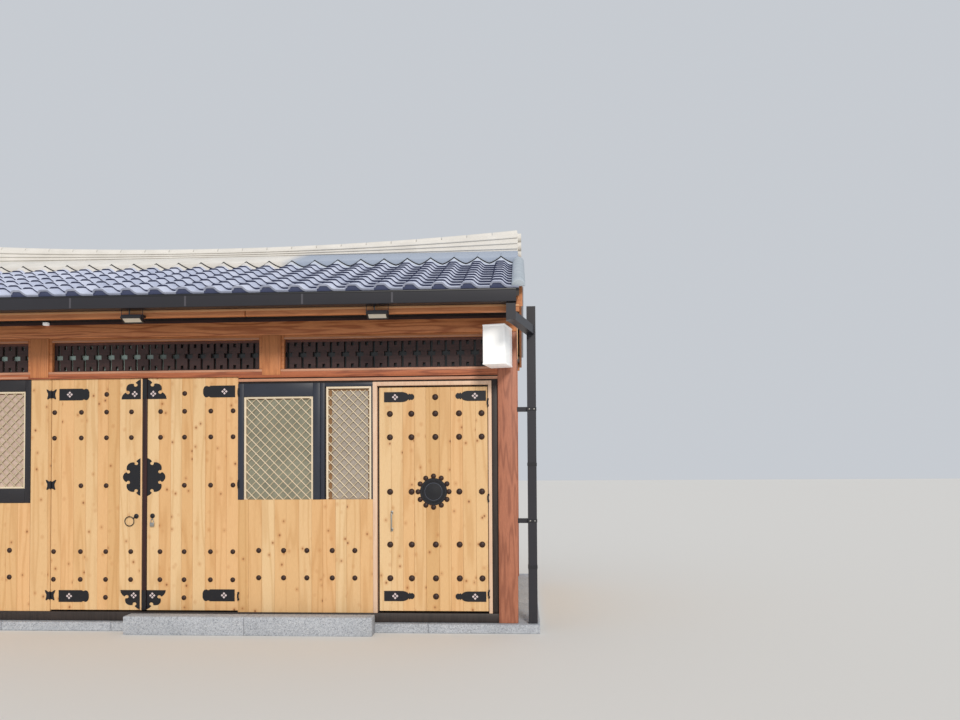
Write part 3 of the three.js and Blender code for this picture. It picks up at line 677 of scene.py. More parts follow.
# %% [markdown]
# ## Pierced transoms
# Between the beams stands a dark board pierced by a row of slots, each with a wider eye, and by
# small square holes above and below. The frosted glass behind them carries painted light: pale where the
# room behind is lit, painted shade to the right.
# Such a board is cut from sheet, and a flat curve with holes is drawn the same way: the outline
# and each hole are splines, and the curve fills between them. Red-brown mouldings frame it.


# %% A helper that cuts flat shapes
def cut_plate(name, outline, holes, front, thick, edge=0.0):
    """Fills an outline with holes, drawn in X and Z, and gives it thickness behind its front."""
    curve = bpy.data.curves.new(name, "CURVE")
    curve.dimensions = "2D"
    curve.fill_mode = "BOTH"
    curve.extrude = thick / 2
    for points in [outline, *holes]:
        spline = curve.splines.new("POLY")
        spline.points.add(len(points) - 1)
        for point, (x, z) in zip(spline.points, points):
            point.co = (x, z, 0, 1)
        spline.use_cyclic_u = True
    piece = bpy.data.objects.new(name, curve)
    bpy.context.collection.objects.link(piece)
    only(piece)
    bpy.ops.object.convert(target="MESH")
    piece.rotation_euler = (math.radians(90), 0, 0)
    piece.location = (0, front + thick / 2, 0)
    tidy_normals(settle(piece))
    return soften(piece, edge, 1) if edge else piece


def rectangle(xs, zs):
    """Corners of an upright rectangle."""
    return [(xs[0], zs[0]), (xs[1], zs[0]), (xs[1], zs[1]), (xs[0], zs[1])]


# %% Transom boards, glass and mouldings
SLOT_COUNT = 16
# First slot from the board's end, and the pitch, which differs in the right bay.
SLOTS = {"left": (0.074, 0.133), "middle": (0.074, 0.133), "right": (0.060, 0.1415)}
SLOT_HALF, EYE_HALF = 0.012, 0.040
SLOT_LOW, SLOT_HIGH = 2.560, 2.812
EYE_LOW, EYE_HIGH = 2.6695, 2.7155
HOLE_HALF, HOLE_TALL = 0.014, 0.038
HOLE_ROWS = (2.561, 2.774)
MOULD_SIDE, MOULD_TOP, MOULD_SHADE = 0.032, 0.040, 0.024
MOULD_LIP, LIP_PROUD, SHADE_PROUD = 0.016, 0.002, 0.004
MOULD_FRONT = -1.544
GLASS_YS = (0.006, 0.011)                # behind the board's back


def cross(x):
    """One slot with its eye, as twelve corners."""
    return [(x - SLOT_HALF, SLOT_LOW), (x + SLOT_HALF, SLOT_LOW), (x + SLOT_HALF, EYE_LOW),
            (x + EYE_HALF, EYE_LOW), (x + EYE_HALF, EYE_HIGH), (x + SLOT_HALF, EYE_HIGH),
            (x + SLOT_HALF, SLOT_HIGH), (x - SLOT_HALF, SLOT_HIGH), (x - SLOT_HALF, EYE_HIGH),
            (x - EYE_HALF, EYE_HIGH), (x - EYE_HALF, EYE_LOW), (x - SLOT_HALF, EYE_LOW)]


for bay in ("left", "middle", "right"):
    node = f"transom_{bay}"
    low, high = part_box(node)
    first, pitch = SLOTS[bay]
    crosses = [low.x + first + pitch * i for i in range(SLOT_COUNT)]
    holes = [cross(x) for x in crosses]
    for x in crosses[:-1]:
        middle = x + pitch / 2
        holes += [rectangle((middle - HOLE_HALF, middle + HOLE_HALF), (z, z + HOLE_TALL))
                  for z in HOLE_ROWS]
    board = cut_plate(node + "_board", rectangle((low.x, high.x), (low.z, high.z)), holes, low.y,
                      high.y - low.y)
    finish(board, transom_stain, "dark_wood", replaces=[node])
    slab(node + "_glass", (low.x, high.y + GLASS_YS[0], low.z), (high.x, high.y + GLASS_YS[1], high.z),
         0.001, transom_glass, segments=1)
    inner = (low.x + MOULD_SIDE, high.x - MOULD_SIDE)
    under = high.z - MOULD_TOP
    assemble(node + "_moulding", [
        ((low.x, MOULD_FRONT, low.z), (inner[0], low.y, high.z)),
        ((inner[1], MOULD_FRONT, low.z), (high.x, low.y, high.z)),
        ((inner[0], MOULD_FRONT, under), (inner[1], low.y, high.z)),
    ], 0.006, bright_along["X"], "beam")
    slab(node + "_lip", (inner[0], MOULD_FRONT - LIP_PROUD, under),
         (inner[1], MOULD_FRONT, under + MOULD_LIP), 0.0008, pale_stain_and_highlight, "beam", segments=1)
    # A dark umber strip under the top moulding: painted shadow on the board.
    slab(node + "_shade", (inner[0], low.y - SHADE_PROUD, under - MOULD_SHADE),
         (inner[1], low.y, under), 0.001, moulding_shadow_stain, "dark_wood", segments=1)

# %% [markdown]
# ## Pine boards
# The front, the gate and the door are clad in upright boards about twelve centimetres wide. Each
# board is a cube primitive with its own width, and one Bevel gives them all the small V joint
# that shows as a thin shadow. The number written on each board feeds the wood material.

# %% Boards side by side
BOARD_WIDTH = 0.119
BOARD_GAP = 0.0008
BOARD_THICK = 0.028
V_JOINT = 0.0016
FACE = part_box("plank_panel_left")[0].y


def number_board(piece):
    """Writes one seeded number on all points of a board."""
    numbers = piece.data.attributes.new("board", "FLOAT", "POINT")
    value = luck.random()
    for item in numbers.data:
        item.value = value


def planks(name, low, high, axis=0, width=BOARD_WIDTH, edge=V_JOINT, gap=BOARD_GAP):
    """Divides a box into boards of uneven width along one axis."""
    count = max(1, round((high[axis] - low[axis]) / width))
    shares = [luck.uniform(0.88, 1.12) for _ in range(count)]
    boards = []
    at = low[axis]
    for share in shares:
        first, last = list(low), list(high)
        first[axis] = at
        at += share / sum(shares) * (high[axis] - low[axis])
        last[axis] = at - gap
        board = block(name, first, last)
        number_board(board)
        boards.append(board)
    return soften(join(name, boards), edge, 1)


# %% Fixed panels and jambs
for side in ("left", "right", "end"):
    low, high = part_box(f"plank_panel_{side}")
    if side == "right":
        low.x, high.x = max(low.x, WINDOW_LEFT), min(high.x, WINDOW_RIGHT)
    panel = planks(f"panel_{side}_boards", (low.x, FACE, low.z), high)
    finish(panel, oiled_pine, "pine", replaces=[f"plank_panel_{side}"])

FRAME_FOOT_Z = 0.175                     # where the jambs and the door frame stand
LEAF_BACK = FACE + 0.045
strip_low = Vector((WINDOW_MIRROR + 0.002, FACE, FRAME_FOOT_Z))
strip_high = Vector((-1.063, LEAF_BACK, SILL_LOW))
STRIP_JOINT = -1.093
strip_boards = [block("board", strip_low, (STRIP_JOINT - BOARD_GAP, strip_high.y, strip_high.z)),
                block("board", (STRIP_JOINT, strip_low.y, strip_low.z), strip_high)]
for board in strip_boards:
    number_board(board)
jamb_strip = soften(join("gate_jamb_left_boards", strip_boards), V_JOINT, 1)
finish(jamb_strip, oiled_pine, "pine", replaces=["gate_jamb_left"])
slab("gate_jamb_left_post", (strip_low.x, strip_high.y, strip_low.z),
     (strip_high.x, RAIL_BACK, strip_high.z), 0.004, oiled_pine, "pine")
GATE_ZS = (0.190, 2.4735)
GATE_STOP, GATE_STOP_FRONT = -1.037, FACE + 0.032
slab("gate_jamb_left_stop", (strip_high.x, GATE_STOP_FRONT, GATE_ZS[0]),
     (GATE_STOP, strip_high.y, SILL_LOW), 0.001, pale_pine, "pine", segments=1)

# %% Door and gate leaves
LEDGE_TALL = 0.12
LEDGE_HEIGHTS = (0.40, 1.28, 2.16)
LEDGE_INSET = 0.030


def leaf(name, node, body, xs, zs):
    """Boards with three ledges across their back."""
    back = FACE + BOARD_THICK
    boards = planks(f"{name}_boards", (xs[0], FACE, zs[0]), (xs[1], back, zs[1]))
    finish(boards, oiled_pine, "pine", body, replaces=[node])
    ledges = [((xs[0] + LEDGE_INSET, back, z - LEDGE_TALL / 2),
               (xs[1] - LEDGE_INSET, LEAF_BACK, z + LEDGE_TALL / 2)) for z in LEDGE_HEIGHTS]
    assemble(f"{name}_ledges", ledges, 0.004, oiled_pine, "pine", body)


LEFT_LEAF = (-1.057, -0.129)
RIGHT_LEAF = (-0.0775, 0.838)
DOOR_LEAF = (2.235, 3.288)
DOOR_ZS = (0.195, 2.353)
leaf("gate_left", "gate_leaf_left", "gate_left", LEFT_LEAF, GATE_ZS)
leaf("gate_right", "gate_leaf_right", "gate_right", RIGHT_LEAF, GATE_ZS)
leaf("door", "door_leaf", "single_door", DOOR_LEAF, DOOR_ZS)

# %% Meeting strip of the gate and the light edge beside it
cap_low, cap_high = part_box("gate_astragal")
cap_high.x = RIGHT_LEAF[0] - BOARD_GAP
slab("gate_meeting_strip", cap_low, cap_high, 0.006, maroon_stain, "maroon", "gate_right", segments=3,
     replaces=["gate_astragal"])
EDGE_BEAD, BEAD_PROUD = 0.016, 0.004
slab("gate_left_edge_bead", (LEFT_LEAF[1] - EDGE_BEAD, FACE - BEAD_PROUD, GATE_ZS[0]),
     (LEFT_LEAF[1] - 0.0005, FACE, GATE_ZS[1]), 0.0015, pale_pine, "pine", "gate_left")

# %% Pale frame of the single door
FRAME_YS = (-1.535, -1.415)
DOOR_FRAME = (2.171, 3.327, 2.411)       # left, right and top
DOOR_OPENING = (2.213, 3.294, 2.372)
STOP_YS = (-1.483, -1.455)
STOP_RIGHT, STOP_UNDER = 2.260, 2.330    # edges of the stops that the leaf shuts against
assemble("door_frame_members", [
    ((DOOR_FRAME[0], FRAME_YS[0], FRAME_FOOT_Z), (DOOR_OPENING[0], FRAME_YS[1], DOOR_FRAME[2])),
    ((DOOR_OPENING[1], FRAME_YS[0], FRAME_FOOT_Z), (DOOR_FRAME[1], FRAME_YS[1], DOOR_FRAME[2])),
    ((DOOR_OPENING[0], FRAME_YS[0], DOOR_OPENING[2]), (DOOR_OPENING[1], FRAME_YS[1], DOOR_FRAME[2])),
], 0.003, cream_pine, "pine", replaces=["door_frame"])
# The stops are real, and their black stain is painted shadow in the gap at the leaf's left and top.
assemble("door_stops", [
    ((DOOR_OPENING[0], STOP_YS[0], FRAME_FOOT_Z), (STOP_RIGHT, STOP_YS[1], DOOR_OPENING[2])),
    ((STOP_RIGHT, STOP_YS[0], STOP_UNDER), (DOOR_OPENING[1], STOP_YS[1], DOOR_OPENING[2])),
], 0.002, black_stain, "dark_wood")

# %% [markdown]
# ## Windows
# Each window is a blue-black frame with a wide and a narrow sash. A sash has a slim cream rim, a
# lattice of slats at 45 degrees about nine centimetres apart, and a dull screen behind it. One
# slat is modelled, copied across, turned the other way for the second layer, and the field is
# trimmed to the rim with Bisect, which is how a joiner cuts a lattice to its frame.

# %% Window frames
WIDE, NARROW = (0.892, 1.582), (1.710, 2.155)
FRAME_RIGHT = DOOR_FRAME[0]
NARROW_MEMBER = (1.651, 1.694)           # frame member of the narrow window, a little set back
SET_BACK, SHADOW_GAP_FRONT = 0.012, -1.500
MIRROR_SUM = WINDOW_LEFT + WINDOW_MIRROR
# Foot of each frame, then foot and top of its sashes.
FRAME_FOOT = {"right": 1.270, "left": 1.245}
SASH_ZS = {("right", "wide"): (1.270, 2.280), ("right", "narrow"): (1.270, 2.371),
           ("left", "wide"): (1.388, 2.359), ("left", "narrow"): (1.388, 2.359)}


def to_side(side, xs):
    """The same limits in the left window, whose sashes stand in the other order."""
    return xs if side == "right" else (MIRROR_SUM - xs[1], MIRROR_SUM - xs[0])


for side in ("left", "right"):
    foot, top = FRAME_FOOT[side], FRAME_TOP[side]
    wide_top, narrow_top = (SASH_ZS[side, kind][1] for kind in ("wide", "narrow"))
    spans = [((WINDOW_LEFT, WIDE[0]), (foot, top), 0),
             ((WIDE[0], WIDE[1]), (wide_top, top), 0),
             ((WIDE[1], NARROW_MEMBER[0]), (foot, top), 0),
             (NARROW_MEMBER, (foot, top), SET_BACK),
             ((NARROW_MEMBER[1], FRAME_RIGHT), (narrow_top, top), SET_BACK),
             ((NARROW[1], FRAME_RIGHT), (foot, narrow_top), SET_BACK)]
    if side == "left":
        spans.append(((WIDE[0], FRAME_RIGHT), (foot, SASH_ZS["left", "wide"][0]), 0))
    members = []
    for xs, zs, back in spans:
        x = to_side(side, xs)
        members.append(((x[0], FRAME_YS[0] + back, zs[0]), (x[1], FRAME_YS[1], zs[1])))
    paint = window_paint if side == "right" else shaded_paint
    assemble(f"window_{side}_members", members, 0.003, paint, "window_frame",
             replaces=[f"window_frame_{side}"])
    # A black strip between the narrow window's frame member and its sash: painted shadow in the gap.
    x = to_side(side, (NARROW_MEMBER[1], NARROW[0]))
    slab(f"window_{side}_shadow_gap", (x[0], SHADOW_GAP_FRONT, foot), (x[1], FRAME_YS[1], narrow_top), 0.001,
         black_stain, "window_frame", segments=1)

# %% Sashes
RIM = 0.019
SLAT_WIDE, SLAT_THICK = 0.0078, 0.006
SLAT_PITCH = 0.090
SASH_YS = (-1.523, -1.493)
SLACK = 0.001
# Bare brown backing beside the screen at the left, the right and the top, standing for painted shade under
# the rim.
INSETS = {"wide": (0.004, 0.004, 0.010), "narrow": (0.035, 0.015, 0.023)}
SCREENS = {("right", "wide"): screen_green, ("right", "narrow"): screen_brown,
           ("left", "wide"): screen_beige, ("left", "narrow"): screen_beige}


def slats(name, xs, zs, front, turn):
    """One layer of slats at an angle, trimmed to a rectangle."""
    centre = Vector(((xs[0] + xs[1]) / 2, 0, (zs[0] + zs[1]) / 2))
    reach = (xs[1] - xs[0] + zs[1] - zs[0]) / 2
    count = int(2 * reach / SLAT_PITCH) + 1
    slat = block("slat", (-reach, front, -SLAT_WIDE / 2), (reach, front + SLAT_THICK, SLAT_WIDE / 2))
    slat.data.transform(Matrix.Rotation(math.radians(turn), 4, "Y"))
    slat.data.transform(Matrix.Translation(centre))
    field = repeat(name, slat, [((k - (count - 1) / 2) * SLAT_PITCH, 0, 0) for k in range(count)])
    for i, axis in enumerate("xz"):
        for end, way in zip((xs, zs)[i], (-1, 1)):
            direction = (way, 0, 0) if axis == "x" else (0, 0, way)
            trim(field, tuple(end * abs(part) for part in direction), direction)
    return field


def sash_rim(name, x, z, with_foot):
    """Members of a sash; one that stands on the planks has no rail at its foot."""
    inner = (x[0] + RIM, x[1] - RIM)
    spans = [((x[0], inner[0]), z), ((inner[1], x[1]), z), (inner, (z[1] - RIM, z[1]))]
    if with_foot:
        spans.append((inner, (z[0], z[0] + RIM)))
    members = [((xs[0], SASH_YS[0], zs[0]), (xs[1], SASH_YS[1], zs[1])) for xs, zs in spans]
    assemble(f"{name}_rim", members, 0.002, lattice_wood, "sash", replaces=[name])


LAYERS = (("front", 45, 0.003), ("back", -45, 0.0066))
SCREEN_YS, BACKING_YS, BACKING_LAP = (-1.503, -1.499), (-1.499, -1.495), 0.01
for (side, kind), (foot, top) in SASH_ZS.items():
    name = f"sash_{side}_{kind}"
    first, last = WIDE if kind == "wide" else NARROW
    x = to_side(side, (first + SLACK, last - SLACK))
    z = (foot, top - SLACK)
    sash_rim(name, x, z, side == "left")
    xs, zs = (x[0] + RIM, x[1] - RIM), (foot + (RIM if side == "left" else 0), z[1] - RIM)
    for layer, turn, back in LAYERS:
        field = slats(f"{name}_{layer}_slats", xs, zs, SASH_YS[0] + back, turn)
        # Only the right window's front layer gets the lit lattice wood; the rest take the copy in painted
        # shade.
        bright = layer == "front" and side == "right"
        finish(field, lattice_wood if bright else shaded_lattice_wood, "sash")
    left, right_gap, top_gap = INSETS[kind]
    slab(f"{name}_screen", (xs[0] + left, SCREEN_YS[0], zs[0]),
         (xs[1] - right_gap, SCREEN_YS[1], zs[1] - top_gap), 0.001, SCREENS[side, kind], segments=1)
    slab(f"{name}_backing", (xs[0] - BACKING_LAP, BACKING_YS[0], zs[0]),
         (xs[1] + BACKING_LAP, BACKING_YS[1], zs[1] + BACKING_LAP), 0.001, backing_wood, segments=1)

# %% [markdown]
# ## Nails
# Round-headed nails hold the boards to the ledges. The head is a low dome: a cylinder primitive
# whose front face is inset and pulled out three times, which needs only a few dozen faces.

# %% Round plates, and one nail
DISC_THICK = 0.003
NAIL_RADIUS = 0.0242
NAIL_STEPS = ((0.0041, 0.0056), (0.0071, 0.0045), (0.0077, 0.0020))


def disc(name, x, z, radius, steps, sides=48, front=FACE):
    """A round plate whose front face is stepped by insets, each an inset and a rise."""
    plate = drum(name, radius, DISC_THICK, (x, front - DISC_THICK / 2, z), (90, 0, 0), sides)
    pick(plate, "FACE", lambda face: face.normal.y < -0.9)
    for inward, rise in steps:
        bpy.ops.mesh.inset(thickness=inward, depth=rise)
    start()
    return plate


def nail(radius):
    """A domed nail head on the origin, facing -Y."""
    share = radius / NAIL_RADIUS
    steps = [(inward * share, outward * share) for inward, outward in NAIL_STEPS]
    return disc("nail", 0, 0, radius, steps, 12, 0)


def nails(name, points, body, front=FACE, radius=NAIL_RADIUS):
    """Nail heads at points given as X and Z."""
    piece = repeat(name, nail(radius), [(x, front, z) for x, z in points])
    return finish(piece, browned_iron, None, body, smooth=70)


# %% Where the nails go
PLATE_ROW = 1.414                        # plates and hinges take the place of nails there
GATE_ROWS = (2.143, 1.888, PLATE_ROW, 0.763, 0.489)
LEFT_COLUMNS = (-1.028, -0.753, -0.495, -0.241)
RIGHT_COLUMNS = (0.055, 0.298, 0.562, 0.786)
EXTRA_ROWS = (2.319, 0.313)              # a single nail above and below the grid
DOOR_COLUMNS = (2.339, 2.549, 2.782, 3.012, 3.230)
ROUNDEL = (2.762, 1.342)
DOOR_ROWS = (2.097, 1.870, ROUNDEL[1], 0.833, 0.509)
DOOR_EXTRA_ROWS = (2.257, 0.335)
PANEL_COLUMNS = (1.044, 1.291, 1.521, 1.771, 1.993)
END_COLUMNS = (-3.22, -2.99, -2.76)
PANEL_ROWS = (0.775, 0.510)
DOOR_NAIL, PANEL_NAIL = 0.030, 0.0255


def grid(rows, columns, skipped=()):
    """Nail points row by row, as X and Z, without those at the skipped places."""
    return [(x, z) for z in rows for x in columns if (x, z) not in skipped]


for side, columns, bare, alone in (("left", LEFT_COLUMNS, (0, 3), 2), ("right", RIGHT_COLUMNS, (0,), 1)):
    points = grid(GATE_ROWS, columns, [(columns[i], PLATE_ROW) for i in bare])
    nails(f"gate_{side}_nails", points + grid(EXTRA_ROWS, [columns[alone]]), f"gate_{side}")
middle = DOOR_COLUMNS[2]
points = grid(DOOR_ROWS, DOOR_COLUMNS, [(middle, ROUNDEL[1])]) + grid(DOOR_EXTRA_ROWS, [middle])
nails("door_nails", points, "single_door", radius=DOOR_NAIL)
for panel, columns in (("right", PANEL_COLUMNS), ("left", [MIRROR_SUM - x for x in PANEL_COLUMNS]),
                       ("end", END_COLUMNS)):
    nails(f"panel_{panel}_nails", grid(PANEL_ROWS, columns), "house", radius=PANEL_NAIL)

# %% [markdown]
# ## Iron plates
# The gate and the door carry cut and pierced iron: straps with a rounded tip, half-flower plates
# at the top and foot of the meeting edges, and a plate with eight curled lobes where the leaves
# meet. They are flat shapes cut from sheet, so the transoms' helper draws them too.

# %% Straps
STRAP_LONG = {"gate_left": 0.311, "gate_right": 0.324, "single_door": 0.298}
STRAP_FLOWER = 0.107                     # from the square end to the pierced flower
PLATE_THICK = 0.004
DIAMOND, DIAMOND_OUT = 0.0130, 0.0182
INLAY_THICK = 0.0025
# Upper edges, as shares of the length and of half the height: the gate's tip is round with a
# notch, the door's has a neck and a knob.
GATE_EDGE = (0.116, ((0, 1), (0.76, 1), (0.79, 0.88), (0.83, 0.86), (0.87, 0.98), (0.93, 0.92),
                     (0.965, 0.70), (0.99, 0.34)))
DOOR_EDGE = (0.098, ((0, 1), (0.60, 1), (0.69, 0.90), (0.76, 0.70), (0.80, 0.42), (0.82, 0.70),
                     (0.86, 0.52), (0.92, 0.60), (0.965, 0.42), (0.99, 0.16)))


def four_diamonds(x, z):
    """The small pierced flower: four diamonds around a point."""
    shapes = []
    for across, up in ((1, 0), (-1, 0), (0, 1), (0, -1)):
        cx, cz = x + across * DIAMOND_OUT, z + up * DIAMOND_OUT
        shapes.append([(cx - DIAMOND, cz), (cx, cz - DIAMOND), (cx + DIAMOND, cz), (cx, cz + DIAMOND)])
    return shapes


def inlays(x, z):
    """Thin pale diamonds that fill the pierced flower to below the plate's face: painted light, as sunlit
    pine seen through the holes.
    """
    return [cut_plate("inlay", points, [], FACE - INLAY_THICK, INLAY_THICK)
            for points in four_diamonds(x, z)]


def strap(x, z, way, long, tall, edge):
    """A pierced strap on the boards that starts square at x and points along X."""
    upper = [(along, share * tall / 2) for along, share in edge]
    lower = [(along, -up) for along, up in reversed(upper)]
    outline = [(x + way * along * long, z + up) for along, up in upper + lower]
    holes = four_diamonds(x + way * STRAP_FLOWER, z)
    return cut_plate("strap", outline, holes, FACE - PLATE_THICK, PLATE_THICK, 0.0008)


STRAPS = {
    "gate_left": [(-0.980, 2.321, 1), (-0.972, 0.325, 1)],
    "gate_right": [(0.806, 2.335, -1), (0.806, 0.338, -1)],
    "single_door": [(2.283, 2.260, 1), (3.274, 2.265, -1), (2.279, 0.338, 1), (3.266, 0.335, -1)],
}
for body, places in STRAPS.items():
    edge = DOOR_EDGE if body == "single_door" else GATE_EDGE
    pieces = [strap(x, z, way, STRAP_LONG[body], *edge) for x, z, way in places]
    finish(join(f"{body}_straps", pieces), forged_iron, None, body)
    filled = [part for x, z, way in places for part in inlays(x + way * STRAP_FLOWER, z)]
    finish(join(f"{body}_strap_inlays", filled), painted_light_inlay, None, body)

# %% Lobed plates
PLATE_MIDDLE = -0.109
LOCK_SIZE = (0.2155, 0.193)          # half the width and half the height
FLOWER_MIDDLE = -0.114
FLOWER_SIZE = (0.2290, 0.202)
LOCK_NOTCHES = (20, 62, 118, 160, 200, 242, 298, 340, 380)
FLOWER_NOTCHES = (25, 62, 118, 155, 205, 242, 298, 335, 385)
LOBE_GAP, LOBE_FALL = 0.07, 0.11     # half the gap between lobes in radians, fall of a lobe to its sides
KEYHOLE, KEYHOLE_AT = 0.088, 0.79    # its radius and its place, as shares of the plate's radius


def lobed_outline(cx, cz, wide, tall, notches):
    """An oval outline with curled lobes and a keyhole between each two."""
    points = []
    angles = [math.radians(a) for a in notches]
    for first, last in zip(angles, angles[1:]):
        middle, half = (first + last) / 2, (last - first) / 2 - LOBE_GAP
        for share in (-1, -0.7, -0.35, 0, 0.35, 0.7, 1):
            reach = 1 - LOBE_FALL * share * share
            angle = middle + share * half
            points.append((reach * math.cos(angle), reach * math.sin(angle)))
        for around in (-40, -85, -130, 180, 130, 85, 40):
            angle = last + math.radians(around)
            points.append((KEYHOLE_AT * math.cos(last) + KEYHOLE * math.cos(angle),
                           KEYHOLE_AT * math.sin(last) + KEYHOLE * math.sin(angle)))
    return [(cx + wide * x, cz + tall * z) for x, z in points]


def lobed_plate(name, outline, holes, cuts):
    """A lobed plate trimmed by planes, each a point and a normal."""
    plate = cut_plate(name, outline, holes, FACE - PLATE_THICK, PLATE_THICK)
    for point, normal in cuts:
        trim(plate, point, normal)
    return soften(plate, 0.0008, 1)


LEFT_CUT = ((LEFT_LEAF[1] - EDGE_BEAD, 0, 0), (1, 0, 0))
RIGHT_CUT = ((RIGHT_LEAF[0], 0, 0), (-1, 0, 0))
LOCK_HEIGHT = 1.497
FLOWER_BASES = ((2.268, 1), (0.386, -1))
FLOWER_HOLE, FLOWER_UP = 0.094, 0.052    # the pierced flower from the middle and from the base


def flower_plate(name, base, way, side_cut, hole_x):
    """Half a lobed plate that stands on its base; way is 1 upwards and -1 downwards."""
    holes = four_diamonds(hole_x, base + way * FLOWER_UP)
    tall = FLOWER_SIZE[1] if way > 0 else base - GATE_ZS[0] - 0.002
    cuts = [side_cut, ((0, 0, base), (0, 0, -way))]
    outline = lobed_outline(FLOWER_MIDDLE, base, FLOWER_SIZE[0], tall, FLOWER_NOTCHES)
    return lobed_plate(name, outline, holes, cuts)


for body, cut, sign in (("gate_left", LEFT_CUT, -1), ("gate_right", RIGHT_CUT, 1)):
    outline = lobed_outline(PLATE_MIDDLE, LOCK_HEIGHT, *LOCK_SIZE, LOCK_NOTCHES)
    half = lobed_plate(f"{body}_lock_plate", outline, [], [cut])
    finish(half, forged_iron, None, body)
    hole_x = FLOWER_MIDDLE + sign * FLOWER_HOLE
    pieces = [flower_plate("flower", base, way, cut, hole_x) for base, way in FLOWER_BASES]
    finish(join(f"{body}_flower_plates", pieces), forged_iron, None, body)
    filled = [part for base, way in FLOWER_BASES for part in inlays(hole_x, base + way * FLOWER_UP)]
    finish(join(f"{body}_flower_inlays", filled), painted_light_inlay, None, body)

# %% Caps over the meeting strip
STRIP_CAPS = ((2.268, 2.466), (0.193, 0.386))
CAP_PROUD = 0.003
assemble("gate_strip_caps", [((cap_low.x, cap_low.y - CAP_PROUD, foot), (cap_high.x, cap_low.y, top))
                             for foot, top in STRIP_CAPS],
         0.001, forged_iron, None, "gate_right", segments=1)

# %% [markdown]
# ## Roundel, ring pull and handle
# The single door has a round iron plate with twelve nails around its rim, and a plain steel pull.
# The gate has a ring on a small rosette and a steel padlock. Round things start as a cylinder or a
# torus primitive, and insets give the plate its raised rings.

# %% Roundel of the single door
ROUNDEL_RADIUS = 0.132
ROUNDEL_STEPS = ((0.004, 0.003), (0.018, 0.0), (0.003, 0.003), (0.006, 0.0), (0.003, -0.003),
                 (0.014, 0.0), (0.003, 0.0025), (0.05, 0.003), (0.015, 0.001))
# A raised ring on the roundel, paler than the plate: painted highlight.
RING_HIGHLIGHT_RADIUS, RING_HIGHLIGHT_WIRE, RING_HIGHLIGHT_PROUD = 0.0835, 0.0022, 0.0065
NAIL_CIRCLE, NAIL_COUNT = 0.150, 12
roundel = disc("door_roundel", *ROUNDEL, ROUNDEL_RADIUS, ROUNDEL_STEPS)
finish(roundel, forged_iron, None, "single_door")
highlight_ring = hoop("door_roundel_ring", RING_HIGHLIGHT_RADIUS, RING_HIGHLIGHT_WIRE,
                   (ROUNDEL[0], FACE - RING_HIGHLIGHT_PROUD, ROUNDEL[1]), (48, 6))
finish(highlight_ring, highlight_iron, None, "single_door")
angles = [math.tau * k / NAIL_COUNT for k in range(NAIL_COUNT)]
points = [(ROUNDEL[0] + NAIL_CIRCLE * math.cos(a), ROUNDEL[1] + NAIL_CIRCLE * math.sin(a)) for a in angles]
nails("door_roundel_nails", points, "single_door", radius=PANEL_NAIL)

# %% Ring pull and padlock
ROSETTE_RADIUS = 0.024
ROSETTE_STEPS = ((0.004, 0.003), (0.006, 0.0), (0.003, 0.003), (0.004, 0.001))
RING_RADIUS, RING_WIRE = 0.046, 0.0042
RING_Y = FACE - 0.010
RING_PLACE, LINK_PLACE = (-0.252, RING_Y, 1.062), (-0.190, RING_Y, 1.109)
LINK_LEAN = math.radians(52)
ROSETTE_PLACE, HASP_PLACE = (-0.186, 1.111), (-0.022, 1.114)
PADLOCK_LOW, PADLOCK_HIGH = (-0.043, FACE - 0.018, 1.010), (-0.001, FACE - 0.002, 1.050)
SHACKLE_RADIUS, SHACKLE_WIRE, SHACKLE_STRETCH = 0.014, 0.003, 1.9
SHACKLE_Z = 1.058
ring = hoop("ring", RING_RADIUS, RING_WIRE, RING_PLACE)
link = block("link", (-0.004, -0.006, -0.030), (0.004, 0.006, 0.006))
link.data.transform(Matrix.Translation(LINK_PLACE) @ Matrix.Rotation(LINK_LEAN, 4, "Y"))
rosette = disc("rosette", *ROSETTE_PLACE, ROSETTE_RADIUS, ROSETTE_STEPS, 16)
finish(join("gate_ring_pull", [rosette, ring, soften(link, 0.0015)]), forged_iron, None, "gate_left")
hasp_rosette = disc("gate_hasp_rosette", *HASP_PLACE, ROSETTE_RADIUS, ROSETTE_STEPS, 16)
finish(hasp_rosette, forged_iron, None, "gate_right")
padlock = soften(block("padlock", PADLOCK_LOW, PADLOCK_HIGH), 0.003)
shackle = hoop("shackle", SHACKLE_RADIUS, SHACKLE_WIRE, (HASP_PLACE[0], RING_Y, 0), (24, 8))
shackle.data.transform(Matrix.Translation((0, 0, SHACKLE_Z))
                       @ Matrix.Scale(SHACKLE_STRETCH, 4, (0, 0, 1)))
finish(join("gate_padlock", [padlock, shackle]), brushed_steel, None, "gate_right")

# %% Steel pull of the single door
PULL_X, PULL_LOW, PULL_HIGH = 2.357, 0.973, 1.147
GRIP_HALF, PLATE_HALF = 0.006, 0.012
PULL_GRIP, PULL_FACE = FACE - 0.034, FACE - 0.003
# Grip, its two legs and their two base plates: half the width, front, back, foot and top.
PULL_PARTS = ((GRIP_HALF, PULL_GRIP, PULL_GRIP + 0.010, PULL_LOW, PULL_HIGH),
              (GRIP_HALF, PULL_GRIP, FACE, PULL_LOW, PULL_LOW + 0.012),
              (GRIP_HALF, PULL_GRIP, FACE, PULL_HIGH - 0.012, PULL_HIGH),
              (PLATE_HALF, PULL_FACE, FACE, PULL_LOW - 0.012, PULL_LOW + 0.022),
              (PLATE_HALF, PULL_FACE, FACE, PULL_HIGH - 0.022, PULL_HIGH + 0.012))
assemble("door_pull", [((PULL_X - half, near, foot), (PULL_X + half, far, top))
                       for half, near, far, foot, top in PULL_PARTS],
         0.002, brushed_steel, None, "single_door")

